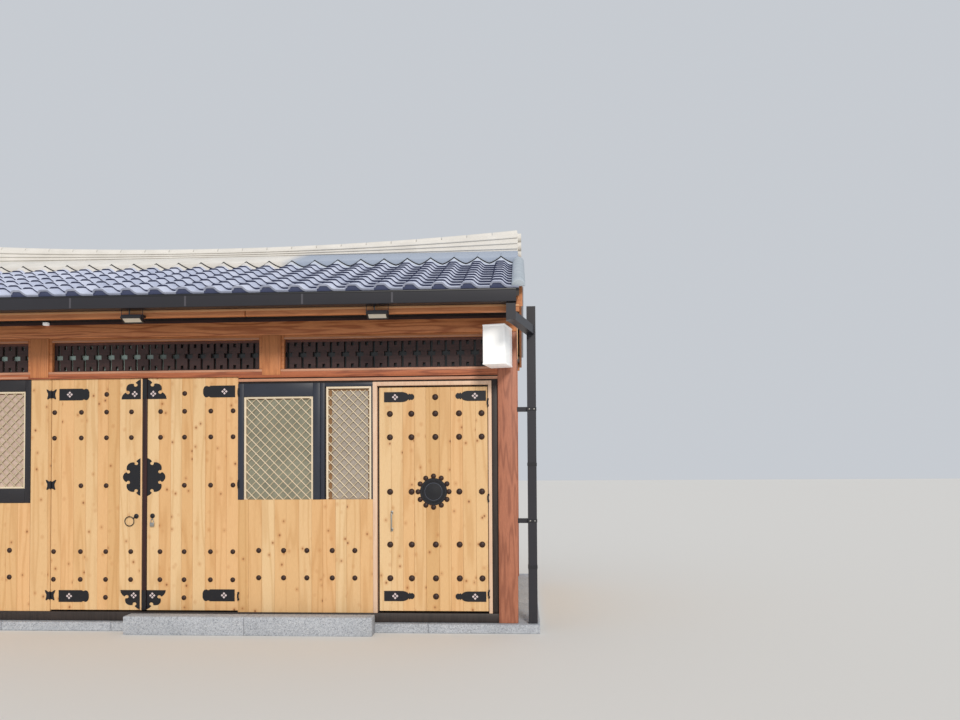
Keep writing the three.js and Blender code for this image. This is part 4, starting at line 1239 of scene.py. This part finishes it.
# %% [markdown]
# ## Hinges
# A hinge is a row of knuckles on one pin: the middle one belongs to the leaf, the outer two to
# the frame. The left gate leaf shows butterfly plates. Leaf and frame parts are separate pieces
# on separate bodies, so they part when the leaf swings.

# %% Knuckles and plates
KNUCKLE_RADIUS = 0.006
KNUCKLE_TALL = 0.040
PIN_Y = FACE - 0.011
GATE_HINGES = (0.331, 1.423, 2.324)
DOOR_HINGES = (0.360, 1.280, 2.200)


def knuckle(x, z, height):
    """A short barrel with eased ends."""
    return soften(drum("knuckle", KNUCKLE_RADIUS, height, (x, PIN_Y, z)), 0.0008, 1)


def wing(x, z, way):
    """Half of a butterfly plate: narrow at the pin and flared outside."""
    outline = [(0, 0.033), (0.018, 0.035), (0.040, 0.050), (0.050, 0.050), (0.044, 0.030),
               (0.034, 0.012), (0.034, -0.012), (0.040, -0.035), (0.042, -0.047), (0.034, -0.048),
               (0.018, -0.038), (0, -0.036)]
    points = [(x + way * along, z + up) for along, up in outline]
    return cut_plate("wing", points, [], PIN_Y + KNUCKLE_RADIUS - 0.0005, 0.0055, 0.0006)


def slim_plate(x, z, way, height):
    """A narrow plate from the pin to the face of the timber."""
    reach = x + way * 0.010
    return block("plate", (min(x, reach), PIN_Y + 0.001, z - height / 2),
                 (max(x, reach), FACE - 0.0002, z + height / 2))


def hinge(name, x, heights, body, way, moving, plate):
    """One side of the hinges on one pin."""
    parts = []
    offset = KNUCKLE_TALL / 2 + 0.0003 + KNUCKLE_TALL / 4
    for z in heights:
        levels = [z] if moving else [z - offset, z + offset]
        height = KNUCKLE_TALL if moving else KNUCKLE_TALL / 2
        parts += [knuckle(x, at, height) for at in levels]
        if plate == "wing":
            parts.append(wing(x + way * 0.003, z, way))
        else:
            parts += [slim_plate(x, at, way, height) for at in levels]
    finish(join(name, parts), forged_iron, None, body)


LEFT_PIN = (strip_high.x + LEFT_LEAF[0]) / 2
RIGHT_PIN = RIGHT_LEAF[1] + 0.0035
DOOR_PIN = DOOR_LEAF[1] + 0.003
for door, fixed, body, pin, heights, way, plate in (
        ("gate_left", "gate_left_jamb", "gate_left", LEFT_PIN, GATE_HINGES, 1, "wing"),
        ("gate_right", "gate_right_jamb", "gate_right", RIGHT_PIN, GATE_HINGES, -1, "slim"),
        ("door", "door_frame", "single_door", DOOR_PIN, DOOR_HINGES, -1, "slim")):
    hinge(f"{door}_leaf_hinges", pin, heights, body, way, True, plate)
    hinge(f"{fixed}_hinges", pin, heights, "house", -way, False, plate)

# %% [markdown]
# ## Granite base
# A plinth of dressed blocks carries the frame, and two long blocks make the step. Each block is
# a bevelled cube with a joint of a few millimetres, around a plain core that hides inside.

# %% Plinth and steps
COURSE = 0.240                           # from front to back
FRONT_STONE, SIDE_STONE = 1.08, 0.95     # usual length of a block
STONE_JOINT, STONE_EDGE = 0.004, 0.006
CORE_INSET = 0.02
low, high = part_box("plinth")
slab("plinth_core", (low.x + CORE_INSET, low.y + CORE_INSET, 0.0),
     (high.x - CORE_INSET, high.y - CORE_INSET, high.z - STONE_JOINT), 0.003, granite, "granite",
     segments=1, replaces=["plinth"])
rows = [planks("course", (low.x, y, 0), (high.x, y + COURSE, high.z), 0, FRONT_STONE, STONE_EDGE,
               STONE_JOINT) for y in (low.y, high.y - COURSE)]
rows += [planks("course", (x, low.y + COURSE + STONE_JOINT, 0), (x + COURSE, high.y - COURSE, high.z),
                1, SIDE_STONE, STONE_EDGE, STONE_JOINT) for x in (low.x, high.x - COURSE)]
finish(join("plinth_blocks", rows), granite, "granite")
for node in ("step_block_left", "step_block_right"):
    slab(node + "_stone", *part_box(node), STONE_EDGE, granite, "granite", replaces=[node])

# %% [markdown]
# ## Walls
# The sides and the back are filled with white lime plaster over an ochre dado, with a dark rail
# between them. Each layer is a slab set between the posts, and the rail stands a little proud.

# %% Plaster, dado and rails
DADO_TOP, RAIL_TOP = 1.470, 1.530
RAIL_PROUD = 0.012
for wall in ("wall_left", "wall_right", "wall_back_left", "wall_back_middle", "wall_back_right"):
    low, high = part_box(wall)
    slab(f"{wall}_plaster", (low.x, low.y, RAIL_TOP), high, 0.002, plaster, "plaster", replaces=[wall])
    slab(f"{wall}_dado", low, (high.x, high.y, DADO_TOP), 0.002, ochre_plaster)
    thin = 0 if high.x - low.x < high.y - low.y else 1
    first, last = [low.x, low.y, DADO_TOP], [high.x, high.y, RAIL_TOP]
    first[thin] -= RAIL_PROUD
    last[thin] += RAIL_PROUD
    slab(f"{wall}_rail", first, last, 0.004, black_stain, "dark_wood")

# %% [markdown]
# ## Roof tiles
# Machine-made roof tiles: each has a raised roll on its left, a flat pan on its right, and a nose
# that lies on the row below. One tile is modelled from a plane: its columns are lifted to the
# profile, Solidify gives it thickness, and the nose is raised. Two Array modifiers then lay the
# whole slope, and the back slope is the same field turned round. Boards and a batten carry them.

# %% One tile
TILE_LAP = 0.035
TILE_THICK = 0.017
TAIL_LIFT, NOSE_LIFT = 0.002, 0.020
FIRST_NOSE = SLOPE_LENGTH - 0.006        # the lowest noses end over the gutter, not past its lip
# Across the tile, as shares of its width, and the height of the roll there in metres.
PROFILE = ((0.0, 0.012), (0.03, 0.028), (0.08, 0.041), (0.14, 0.045), (0.34, 0.045), (0.41, 0.040),
           (0.49, 0.020), (0.56, 0.006), (0.63, 0.0), (1.0, 0.0))
PAN_START = 0.56                         # where the pan starts, across the tile
NOSE_PAINTED_SHADE, FLANK_PAINTED_SHADE, PAN_PAINTED_SHADE = 1.0, 0.6, 0.3
ABOVE, ASIDE = 1, 100                    # far off, where no later pick takes a column again


def roof_tile():
    """One tile with its tail on y 0 and its nose towards -Y, flat on the ground."""
    length = ROW_PITCH + TILE_LAP
    start()
    bpy.ops.mesh.primitive_grid_add(x_subdivisions=len(PROFILE) - 1, y_subdivisions=1, size=1)
    tile = bpy.context.object
    tile.scale = (WAVE_PITCH, length, 1)
    tile.location = (WAVE_PITCH / 2, -length / 2, 0)
    settle(tile)
    last = len(PROFILE) - 1
    for i, (share, lift) in enumerate(PROFILE):
        column = WAVE_PITCH * i / last
        pick(tile, "VERT", lambda v, column=column: abs(v.co.x - column) < 0.001)
        bpy.ops.transform.translate(value=(0, 0, lift + ABOVE))
        pick(tile, "VERT", lambda v: v.co.z > ABOVE / 2)
        bpy.ops.transform.translate(value=(ASIDE + WAVE_PITCH * share - column, 0, -ABOVE))
    pick(tile, "VERT", lambda v: True)
    bpy.ops.transform.translate(value=(-ASIDE, 0, 0))
    start()
    modify(tile, "SOLIDIFY", thickness=TILE_THICK, offset=-1)
    for lift, test in ((NOSE_LIFT, lambda v: v.co.y < -length / 2),
                       (TAIL_LIFT, lambda v: v.co.y > -length / 2)):
        pick(tile, "VERT", test)
        bpy.ops.transform.translate(value=(0, 0, lift + TILE_THICK))
    start()
    # Painted shade in the attribute nose: full on the nose faces, less on the roll's steep left flank,
    # least on the pan.
    marks = tile.data.attributes.new("nose", "FLOAT", "FACE")
    for face, mark in zip(tile.data.polygons, marks.data):
        on_pan = face.normal.z > 0.9 and face.center.x > PAN_START * WAVE_PITCH
        mark.value = (NOSE_PAINTED_SHADE if face.normal.y < -0.7 else FLANK_PAINTED_SHADE if face.normal.x < -0.6
                      else PAN_PAINTED_SHADE if on_pan else 0.0)
    return tile


# %% Both slopes
SLOPES = (("front", False), ("back", True))
BOARDS_THICK = 0.050 * math.cos(ROOF_ANGLE)
BEYOND_EAVE = 2.5                        # how far the boards run before they are trimmed
BATTEN_YS, BATTEN_ZS = (-0.002, 0.020), (-0.030, 0.021)     # from the boards' edge and face
PLUG_INSET, PLUG_THICK, PLUG_LIFT = 0.006, 0.010, 0.020     # clay under the lowest noses


def slope_matrix(turned):
    """From the flat drawing, with the ridge on y 0 and down the slope towards -Y, to the roof."""
    tilt = Matrix.Translation((0, 0, ROOF_TOP)) @ Matrix.Rotation(ROOF_ANGLE, 4, "X")
    return Matrix.Rotation(math.pi, 4, "Z") @ tilt if turned else tilt


def turn_round(piece):
    """Turns a piece half round about the upright axis, to the back of the house."""
    piece.data.transform(Matrix.Rotation(math.pi, 4, "Z"))
    return piece


def tile_field(side, turned):
    """A whole slope from one tile: every tile gets a number, and the lowest row half the painted shade."""
    field = roof_tile()
    field.name = f"tiles_{side}"
    faces = len(field.data.polygons)
    field.data.transform(Matrix.Translation((eave_low.x, ROW_PITCH + TILE_LAP - FIRST_NOSE, 0)))
    for count, step in ((WAVE_COUNT, (WAVE_PITCH, 0, 0)), (ROW_COUNT, (0, ROW_PITCH, 0))):
        modify(field, "ARRAY", count=count, use_relative_offset=False, use_constant_offset=True,
               constant_offset_displace=step)
    numbers = field.data.attributes.new("board", "FLOAT", "FACE")
    shades = [luck.random() for _ in range(WAVE_COUNT * ROW_COUNT)]
    noses = field.data.attributes["nose"]
    for i, (number, mark) in enumerate(zip(numbers.data, noses.data)):
        number.value = shades[i // faces]
        if i < faces * WAVE_COUNT:
            mark.value *= 0.5
    field.data.transform(slope_matrix(turned))
    finish(field, roof_clay, "roof_tile", smooth=40, replaces=[f"roof_{side}"])


def roof_boards(side, turned):
    """The boards of one slope, cut upright at the eave and the ridge, and the batten on them."""
    boards = block(f"roof_boards_{side}", (eave_low.x, -BEYOND_EAVE, -BOARDS_THICK),
                   (eave_high.x, 0, 0))
    batten = block(f"eave_batten_{side}", (eave_low.x, BATTEN_YS[0] - SLOPE_LENGTH, BATTEN_ZS[0]),
                   (eave_high.x, BATTEN_YS[1] - SLOPE_LENGTH, BATTEN_ZS[1]))
    for piece in (boards, batten):
        piece.data.transform(slope_matrix(False))
    trim(boards, (0, -EAVE_OUT, 0), (0, -1, 0))
    trim(boards, (0, -0.001, 0), (0, 1, 0))
    # The boards are stained black and the batten is dark: painted shade at the eave, between the lowest
    # tiles and the gutter.
    for piece, material in ((boards, black_stain), (soften(batten, 0.002, 1), dark_coat)):
        finish(turn_round(piece) if turned else piece, material, "roof_tile")


def eave_plugs(side, turned):
    """Clay under the noses of the lowest row that closes each roll's end; its dark blue is painted shade,
    as a hole under the roll would look.
    """
    points = [(eave_low.x, 0.0), (eave_high.x, 0.0)]
    for i in reversed(range(WAVE_COUNT)):
        points += [(eave_low.x + (i + share) * WAVE_PITCH, PLUG_LIFT + lift)
                   for share, lift in reversed(PROFILE)]
    plugs = cut_plate(f"eave_plugs_{side}", points, [], PLUG_INSET - FIRST_NOSE, PLUG_THICK)
    plugs.data.transform(slope_matrix(turned))
    finish(plugs, shaded_plug_clay, "roof_tile")


for side, turned in SLOPES:
    tile_field(side, turned)
    roof_boards(side, turned)
    eave_plugs(side, turned)

# %% [markdown]
# ## Ridge
# On top lies a built-up ridge. A mortar bed covers the upper ends of the tiles; over each roll
# its edge rises to a low pointed hood with a plug of mortar under it. A plastered wall with thin
# courses stands on the bed and carries a row of half round caps. Its line sags in the middle and
# lifts to the ends: straight pieces are cubes divided along X, and each division is raised by its
# share of the lift. The pointed hoods are one outline, cut like a plate and laid on the slope.

# %% The ridge line
RIDGE_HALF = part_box("ridge")[1].x
RIDGE_MIDDLE = ROOF_TOP + 0.151
RIDGE_LIFT = 0.140


def lift_at(x):
    """How much higher the ridge line is at x than in the middle."""
    return RIDGE_LIFT * (x / RIDGE_HALF) ** 2


def lift_course(piece, share=1.0, foot=-1.0):
    """Divides a long piece along X and raises what is above foot by a share of the lift."""
    pick(piece, "EDGE", lambda e: abs(e.verts[0].co.x - e.verts[1].co.x) > RIDGE_HALF)
    bpy.ops.mesh.subdivide(number_cuts=24)
    start()
    for x in sorted({round(v.co.x, 4) for v in piece.data.vertices}):
        pick(piece, "VERT", lambda v, x=x: abs(v.co.x - x) < 0.001 and v.co.z > foot)
        bpy.ops.transform.translate(value=(0, 0, share * lift_at(x)))
    start()
    return piece


# %% Plastered wall with its courses
WALL_HALF, COURSE_HALF = 0.082, 0.095
COURSE_TALL, COURSE_SHORT = 0.016, 0.004
COURSES = ((0.080, 0.15), (0.103, 0.45), (0.126, 0.75))   # height in the middle, share of the lift
wall_piece = block("ridge_wall", (-RIDGE_HALF, -WALL_HALF, ROOF_TOP),
                   (RIDGE_HALF, WALL_HALF, RIDGE_MIDDLE))
lift_course(wall_piece, foot=RIDGE_MIDDLE - 0.01)
finish(soften(wall_piece, 0.004), ridge_plaster, "ridge", replaces=["ridge"])
course_end = RIDGE_HALF - COURSE_SHORT
courses = [lift_course(block("course", (-course_end, -COURSE_HALF, ROOF_TOP + z),
                             (course_end, COURSE_HALF, ROOF_TOP + z + COURSE_TALL)), share)
           for z, share in COURSES]
finish(soften(join("ridge_courses", courses), 0.003, 1), ridge_plaster, "ridge")


# %% Half round caps
def half_round(name, radius, length):
    """A half round tile along X on the origin, closed at its ends."""
    piece = drum(name, radius, length, (0, 0, 0), (0, 90, 0), 20)
    trim(piece, (0, 0, 0), (0, 0, -1))
    return soften(piece, 0.006)


CAP_RADIUS, CAP_COUNT, CAP_GAP, CAP_SUNK = 0.060, 24, 0.006, 0.0055
CAP_PITCH = 2 * RIDGE_HALF / CAP_COUNT
cap_places = []
for i in range(CAP_COUNT):
    x = -RIDGE_HALF + (i + 0.5) * CAP_PITCH
    lean = math.atan(2 * RIDGE_LIFT * x / RIDGE_HALF ** 2)
    spot = Matrix.Translation((x, 0, RIDGE_MIDDLE + lift_at(x) - CAP_SUNK))
    cap_places.append(spot @ Matrix.Rotation(-lean, 4, "Y"))
caps = repeat("ridge_caps", half_round("cap", CAP_RADIUS, CAP_PITCH - CAP_GAP), cap_places)
finish(caps, ridge_plaster, "ridge", smooth=50)

# %% Mortar bed, hoods and plugs along the foot of the ridge
BED_LENGTH = 0.600 / math.cos(ROOF_ANGLE)
BED_HEIGHT = 0.114 * math.cos(ROOF_ANGLE)
ROLL_SHARE = 0.25                        # middle of a roll, across the tile
CREST, CREST_STEPS = 0.070, 8            # height of a crest over a trough, and points to a wave
# Height of the troughs over the boards, upper end and lower end along the slope.
HOOD = (0.046, 0.300, 0.655)
PLUG = (0.033, 0.550, 0.735)
# A thin dark strip along each hood's edge: painted shadow between the hood and its plug.
HOOD_SHADOW_LINE = (0.047, 0.652, 0.657)


def crested(name, trough, top, foot):
    """A slab across the whole slope with a pointed crest over each roll."""
    points = [(eave_low.x, 0.0), (eave_high.x, 0.0)]
    for k in reversed(range(WAVE_COUNT * CREST_STEPS + 1)):
        phase = (k / CREST_STEPS - ROLL_SHARE) % 1
        away = 2 * min(phase, 1 - phase)
        points.append((eave_low.x + k * WAVE_PITCH / CREST_STEPS, trough + CREST * (1 - away) ** 1.4))
    return cut_plate(name, points, [], -foot, foot - top)


for side, turned in SLOPES:
    bed = block(f"ridge_bed_{side}", (-RIDGE_HALF, -BED_LENGTH, 0), (RIDGE_HALF, 0, BED_HEIGHT))
    bed = soften(bed, 0.012)
    bed.data.transform(slope_matrix(turned))
    finish(bed, bed_mortar, "ridge")
    for kind, size, material in (("hoods", HOOD, bed_mortar), ("hood_shadow_lines", HOOD_SHADOW_LINE, dark_coat),
                                 ("plugs", PLUG, plug_mortar)):
        row = crested(f"ridge_{kind}_{side}", *size)
        row.data.transform(slope_matrix(turned))
        finish(row, material, "ridge", smooth=50)

# %% Round end tiles of the ridge
END_RADIUS, END_THICK, END_OUT = 0.050, 0.045, 0.018
ends = []
for sign in (-1, 1):
    for rise in (0.045, 0.150, 0.255):
        end = drum("end", END_RADIUS, END_THICK, (sign * (RIDGE_HALF + END_OUT), 0, ROOF_TOP + rise),
                   (0, 90, 0), 24)
        pick(end, "FACE", lambda f, sign=sign: f.normal.x * sign > 0.9)
        bpy.ops.mesh.inset(thickness=0.010, depth=-0.004)
        bpy.ops.mesh.inset(thickness=0.016, depth=0.003)
        start()
        ends.append(end)
finish(soften(join("ridge_end_tiles", ends), 0.002, 1), ridge_plaster, "ridge")

# %% Verge tiles over the bargeboards
VERGE_RADIUS, VERGE_X, VERGE_LEAN = 0.062, 3.594, math.radians(3)
VERGE_LAP, VERGE_RISE, VERGE_SHIFT = 0.012, 0.034, 0.014
verge_models = []
for side, turned in SLOPES:
    model = half_round("verge", VERGE_RADIUS, ROW_PITCH + VERGE_LAP)
    model.data.transform(Matrix.Rotation(math.radians(90), 4, "Z"))
    model.data.transform(Matrix.Rotation(VERGE_LEAN, 4, "X"))
    spots = [(x, (i + 0.5) * ROW_PITCH - SLOPE_LENGTH + VERGE_SHIFT, VERGE_RISE)
             for x in (-VERGE_X, VERGE_X) for i in range(ROW_COUNT)]
    row = repeat("verge", model, spots)
    row.data.transform(slope_matrix(turned))
    verge_models.append(row)
finish(join("verge_tiles", verge_models), cover_clay, "roof_tile", smooth=50)

# %% [markdown]
# ## Gables
# Under the roof's ends the walls are closed with upright red-brown boards and pale battens over
# their joints. Boards are set side by side and then trimmed to the slopes with Bisect.

# %% Gable boards and battens
GABLE_BOARD = 0.150
BOARD_OUT, BATTEN_OUT, BATTEN_HALF = 0.014, 0.028, 0.016
BATTEN_MARGIN = 0.03                     # from the gable's ends to the middle of the outer battens
gable_low, gable_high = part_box("gable_right")
trim_point = Vector((0, 0, ROOF_TOP - 0.052))


def trim_to_slopes(field):
    """Cuts boards that stand in a gable to both slopes."""
    for way in (1, -1):
        trim(field, trim_point, Vector((0, way * math.sin(ROOF_ANGLE), math.cos(ROOF_ANGLE))))
    return field


for side, sign in (("right", 1), ("left", -1)):
    face = sign * gable_high.x
    outer = sorted((face, face + sign * BOARD_OUT))
    boards = planks(f"gable_{side}_boards", (outer[0], gable_low.y, gable_low.z),
                    (outer[1], gable_high.y, ROOF_TOP), 1, GABLE_BOARD, 0.0015, BOARD_GAP)
    finish(trim_to_slopes(boards), gable_stain, "gable_board")
    outer = sorted((face + sign * BOARD_OUT, face + sign * BATTEN_OUT))
    battens = []
    count = int((gable_high.y - gable_low.y) / (2 * GABLE_BOARD))
    for i in range(count + 1):
        y = gable_low.y + BATTEN_MARGIN + i * (gable_high.y - gable_low.y - 2 * BATTEN_MARGIN) / count
        battens.append(block("batten", (outer[0], y - BATTEN_HALF, gable_low.z),
                             (outer[1], y + BATTEN_HALF, ROOF_TOP)))
    battens = trim_to_slopes(join(f"gable_{side}_battens", battens))
    finish(soften(battens, 0.003, 1), pale_pine, "gable_board")

# %% [markdown]
# ## Gutters and eaves
# A square gutter of coated steel hangs under the tiles. It is a box with its top face deleted and
# Solidify for the sheet, with a rolled bead along its lip and a paler sleeve over each joint.
# Behind it an orange-brown fascia hides the soffit boards and the plate on the wall, stained black:
# painted shade under the eave.

# %% Gutters
gutter_low, gutter_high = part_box("gutter_front")
GUTTER_FOOT = 3.027
BACK_LOWER = 0.059                       # how much lower the gutter's back edge ends
SLEEVE_XS = (-3.10, -2.583, -1.518, -0.453, 0.612, 1.676, 2.481)
SLEEVE_PROUD, SLEEVE_HALF, SLEEVE_THICK, SLEEVE_UP = 0.002, 0.009, 0.005, 0.008
LIP_TALL, LIP_WIDE, UNDER_LIP = 0.016, 0.014, 0.004


def trough():
    """The gutter's channel, open at the top."""
    low = (gutter_low.x, gutter_low.y + SLEEVE_PROUD, GUTTER_FOOT)
    piece = block("trough", low, (gutter_high.x, gutter_high.y, gutter_high.z - UNDER_LIP))
    pick(piece, "FACE", lambda f: f.normal.z > 0.9)
    bpy.ops.mesh.delete(type="FACE")
    start()
    pick(piece, "EDGE", lambda e: abs(e.verts[0].co.x - e.verts[1].co.x) > 1
         and e.verts[0].co.z < GUTTER_FOOT + 0.01)
    bpy.ops.mesh.bevel(offset=0.008, segments=3)
    start()
    pick(piece, "VERT", lambda v: v.co.y > gutter_high.y - 0.001 and v.co.z > gutter_high.z - 0.01)
    bpy.ops.transform.translate(value=(0, 0, -BACK_LOWER))
    start()
    return modify(piece, "SOLIDIFY", thickness=0.003, offset=-1)


for side, turned in SLOPES:
    channel = trough()
    channel.name = f"gutter_{side}_trough"
    lip = block(f"gutter_{side}_lip", (gutter_low.x, gutter_low.y, gutter_high.z - LIP_TALL),
                (gutter_high.x, gutter_low.y + LIP_WIDE, gutter_high.z))
    sleeves = [block("sleeve", (x - SLEEVE_HALF, gutter_low.y, GUTTER_FOOT + SLEEVE_UP),
                     (x + SLEEVE_HALF, gutter_low.y + SLEEVE_THICK, gutter_high.z - LIP_TALL))
               for x in SLEEVE_XS]
    sleeves = soften(join(f"gutter_{side}_sleeves", sleeves), 0.001, 1)
    for piece, material, gone in ((channel, charcoal_coat, [f"gutter_{side}"]),
                                  (soften(lip, 0.004), dark_coat, ()), (sleeves, worn_coat, ())):
        finish(turn_round(piece) if turned else piece, material, "gutter", replaces=gone)

# %% Fascia, soffit and wall plate
FASCIA_FACE, FASCIA_BACK, FASCIA_ZS, FASCIA_HALF = -2.085, -2.045, (2.960, 3.110), 3.600
FASCIA_JOINT, JOINT_HALF = 1.116, 0.004
FASCIA_BEAD, BEAD_ZS = 0.006, (3.007, 3.026)
SOFFIT_BOARD, SOFFIT_ZS, SOFFIT_HALF = 0.10, (3.065, 3.085), 3.598
PLATE_YS, PLATE_FOOT, PLATE_HALF_LONG = (-1.540, -1.500), 3.040, 3.570
for side, turned in SLOPES:
    fascia = [block("fascia", (first, FASCIA_FACE, FASCIA_ZS[0]), (last, FASCIA_BACK, FASCIA_ZS[1]))
              for first, last in ((-FASCIA_HALF, FASCIA_JOINT - JOINT_HALF),
                                  (FASCIA_JOINT + JOINT_HALF, FASCIA_HALF))]
    for board in fascia:
        number_board(board)
    fascia = soften(join(f"fascia_{side}", fascia), 0.003, 1)
    bead_piece = soften(block(f"fascia_{side}_bead", (-FASCIA_HALF, FASCIA_FACE - FASCIA_BEAD, BEAD_ZS[0]),
                              (FASCIA_HALF, FASCIA_FACE, BEAD_ZS[1])), 0.003)
    soffit = planks(f"soffit_{side}_boards", (-SOFFIT_HALF, FASCIA_BACK, SOFFIT_ZS[0]),
                    (SOFFIT_HALF, PLATE_YS[0], SOFFIT_ZS[1]), 0, SOFFIT_BOARD, 0.002)
    plate = soften(block(f"wall_plate_{side}", (-PLATE_HALF_LONG, PLATE_YS[0], PLATE_FOOT),
                         (PLATE_HALF_LONG, PLATE_YS[1], SOFFIT_ZS[1])), 0.003)
    # Soffit boards and wall plate are real parts; their black stain is painted shade under the eave.
    for piece, material, gone in ((fascia, bright_along["X"], [f"eave_{side}"]),
                                  (bead_piece, pale_edge, ()), (soffit, black_stain, ()),
                                  (plate, black_stain, ())):
        finish(turn_round(piece) if turned else piece, material, "beam", replaces=gone)

# %% Downspout bands, brackets and bolts
SPOUT_LOW, SPOUT_HIGH = Vector((3.670, -1.550)), Vector((3.755, -1.465))
BAND_HEIGHTS, BAND_HALF, BAND_OUT = (0.62, 1.060, 1.60, 2.130), 0.016, 0.003
BOLT_XS, BOLT_RADIUS = (3.690, 3.735), 0.008
for side, sign in (("right", 1), ("left", -1)):
    bands = [block("band", (SPOUT_LOW.x - BAND_OUT, SPOUT_LOW.y - BAND_OUT, z - BAND_HALF),
                   (SPOUT_HIGH.x + BAND_OUT, SPOUT_HIGH.y + BAND_OUT, z + BAND_HALF))
             for z in BAND_HEIGHTS]
    bands = soften(join(f"downspout_{side}_bands", bands), 0.0015, 1)
    bolts = repeat(f"downspout_{side}_bolts", nail(BOLT_RADIUS),
                   [(x, SPOUT_LOW.y - BAND_OUT, z) for z in BAND_HEIGHTS[1::2] for x in BOLT_XS])
    for piece, material in ((bands, dark_coat), (bolts, brushed_steel)):
        if sign < 0:                     # to the left end, and back to the front of the house
            turn_round(piece).data.transform(Matrix.Translation((0, SPOUT_LOW.y + SPOUT_HIGH.y, 0)))
        finish(piece, material, "gutter")

# %% [markdown]
# ## Lamps
# A white lamp box hangs at the right end post, turned a little towards the yard, with its faces
# left blank. Two small floodlights under the eave look down: a dark frame around a pale glass.
# The box keeps its seams: a lid and a foot slightly wider than the body.

# %% Lamp box
LAMP_CENTRE = Vector((3.396, -1.728, 2.7085))
LAMP_TURN = math.radians(-13)
LAMP_HALF = Vector((0.104, 0.1455, 0.172))
LID_PROUD, LID_TOP, LID_LAP = 0.002, 0.1845, 0.002
ARM_END = (3.486, -1.5503, 2.7385)
lid_x, lid_y, lid_foot = LAMP_HALF.x + LID_PROUD, LAMP_HALF.y + LID_PROUD, LAMP_HALF.z - LID_LAP


def lamp_part(low, high, edge):
    """A block drawn around the lamp's own centre, then turned and moved into place."""
    piece = soften(block("lamp", low, high), edge)
    piece.data.transform(Matrix.Translation(LAMP_CENTRE) @ Matrix.Rotation(LAMP_TURN, 4, "Z"))
    return piece


body_parts = [lamp_part(-LAMP_HALF, LAMP_HALF, 0.004),
              lamp_part((-lid_x, -lid_y, lid_foot), (lid_x, lid_y, LID_TOP), 0.003),
              lamp_part((-lid_x, -lid_y, -LID_TOP), (lid_x, lid_y, -lid_foot), 0.003)]
# The cover glows faintly: painted light, not a lit lamp.
finish(join("lamp_box_cover", body_parts), glowing_lamp_acrylic, "lamp", replaces=["lamp_box"])
slab("lamp_box_arm", LAMP_CENTRE + Vector((0.020, 0, -0.030)), ARM_END, 0.003, dark_coat, "gutter")

# %% Floodlights and the small fitting
FLOOD_XS = (0.098, 2.340)
FLOOD_PLACE, FLOOD_TILT = (-2.140, 2.940), math.radians(60)
FLOOD_HALF = Vector((0.095, 0.020, 0.042))
FLOOD_RIM, LENS_STEP, LENS_SUNK = 0.013, 0.002, 0.006
LENS_LOW, LENS_HIGH = (-0.0795, -0.017, -0.0265), (0.0795, -0.012, 0.0265)
BRACKET_YS, BRACKET_ZS = (-2.140, -2.0853), (2.955, 2.980)     # from the housing to the fascia
ARM_YS = (-2.152, -2.148)
SIDE_ARM_HALF, MIDDLE_ARM_HALF, MIDDLE_ARM_SHIFT, MIDDLE_ARM_FOOT = 0.003, 0.006, -0.025, 2.975
FITTING_LOW, FITTING_HIGH = (-1.125, -1.585, 3.008), (-1.075, -1.550, 3.038)


def flood_arm(x, half, foot):
    """A flat arm from the housing up to the gutter's underside."""
    return soften(block("arm", (x - half, ARM_YS[0], foot), (x + half, ARM_YS[1], GUTTER_FOOT)), 0.001, 1)


for i, x in enumerate(FLOOD_XS):
    housing = block("housing", -FLOOD_HALF, FLOOD_HALF)
    pick(housing, "FACE", lambda f: f.normal.y < -0.9)
    bpy.ops.mesh.inset(thickness=FLOOD_RIM, depth=0)
    bpy.ops.mesh.inset(thickness=LENS_STEP, depth=-LENS_SUNK)
    start()
    soften(housing, 0.003, 1)
    lens = soften(block(f"floodlight_{i + 1}_face", LENS_LOW, LENS_HIGH), 0.001, 1)
    for piece in (housing, lens):
        piece.data.transform(Matrix.Translation((x, *FLOOD_PLACE)) @ Matrix.Rotation(FLOOD_TILT, 4, "X"))
    finish(lens, lamp_lens, "lamp")
    bracket = soften(block("bracket", (x - FLOOD_HALF.x, BRACKET_YS[0], BRACKET_ZS[0]),
                           (x + FLOOD_HALF.x, BRACKET_YS[1], BRACKET_ZS[1])), 0.002, 1)
    arms = [flood_arm(x + way * (FLOOD_HALF.x + SIDE_ARM_HALF), SIDE_ARM_HALF, FLOOD_PLACE[1])
            for way in (-1, 1)]
    arms.append(flood_arm(x + MIDDLE_ARM_SHIFT, MIDDLE_ARM_HALF, MIDDLE_ARM_FOOT))
    whole = join(f"floodlight_{i + 1}_housing", [housing, bracket, *arms])
    finish(whole, dark_coat, "gutter", replaces=[f"floodlight_{i + 1}"])
# The fitting has the same painted glow.
slab("eave_fitting", FITTING_LOW, FITTING_HIGH, 0.004, glowing_lamp_acrylic, "lamp")

# %% [markdown]
# ## Finish of the nodes that stay
# The gables, bargeboards, downspouts, floor and the hidden jamb keep their CAD shape. They only
# need the right material in their slot.

# %% Materials of the kept nodes
KEPT = {
    "floor_slab": floor_screed,
    "gable_left": gable_stain,
    "gable_right": gable_stain,
    "bargeboard_left": bright_along["Y"],
    "bargeboard_right": bright_along["Y"],
    "downspout_left": charcoal_coat,
    "downspout_right": charcoal_coat,
    "gate_jamb_right": oiled_pine,
}
for name, material in KEPT.items():
    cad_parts[name].material_slots[0].material = material
shown = sorted(name for name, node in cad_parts.items() if not node.hide_render)
print("kept nodes:", ", ".join(shown))
print("kept without a finish:", sorted(set(shown) - set(KEPT)))

# %% Sizes and the last line
low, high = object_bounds()
print("box of the dressed house:", [round(value, 3) for value in (*low, *high)])
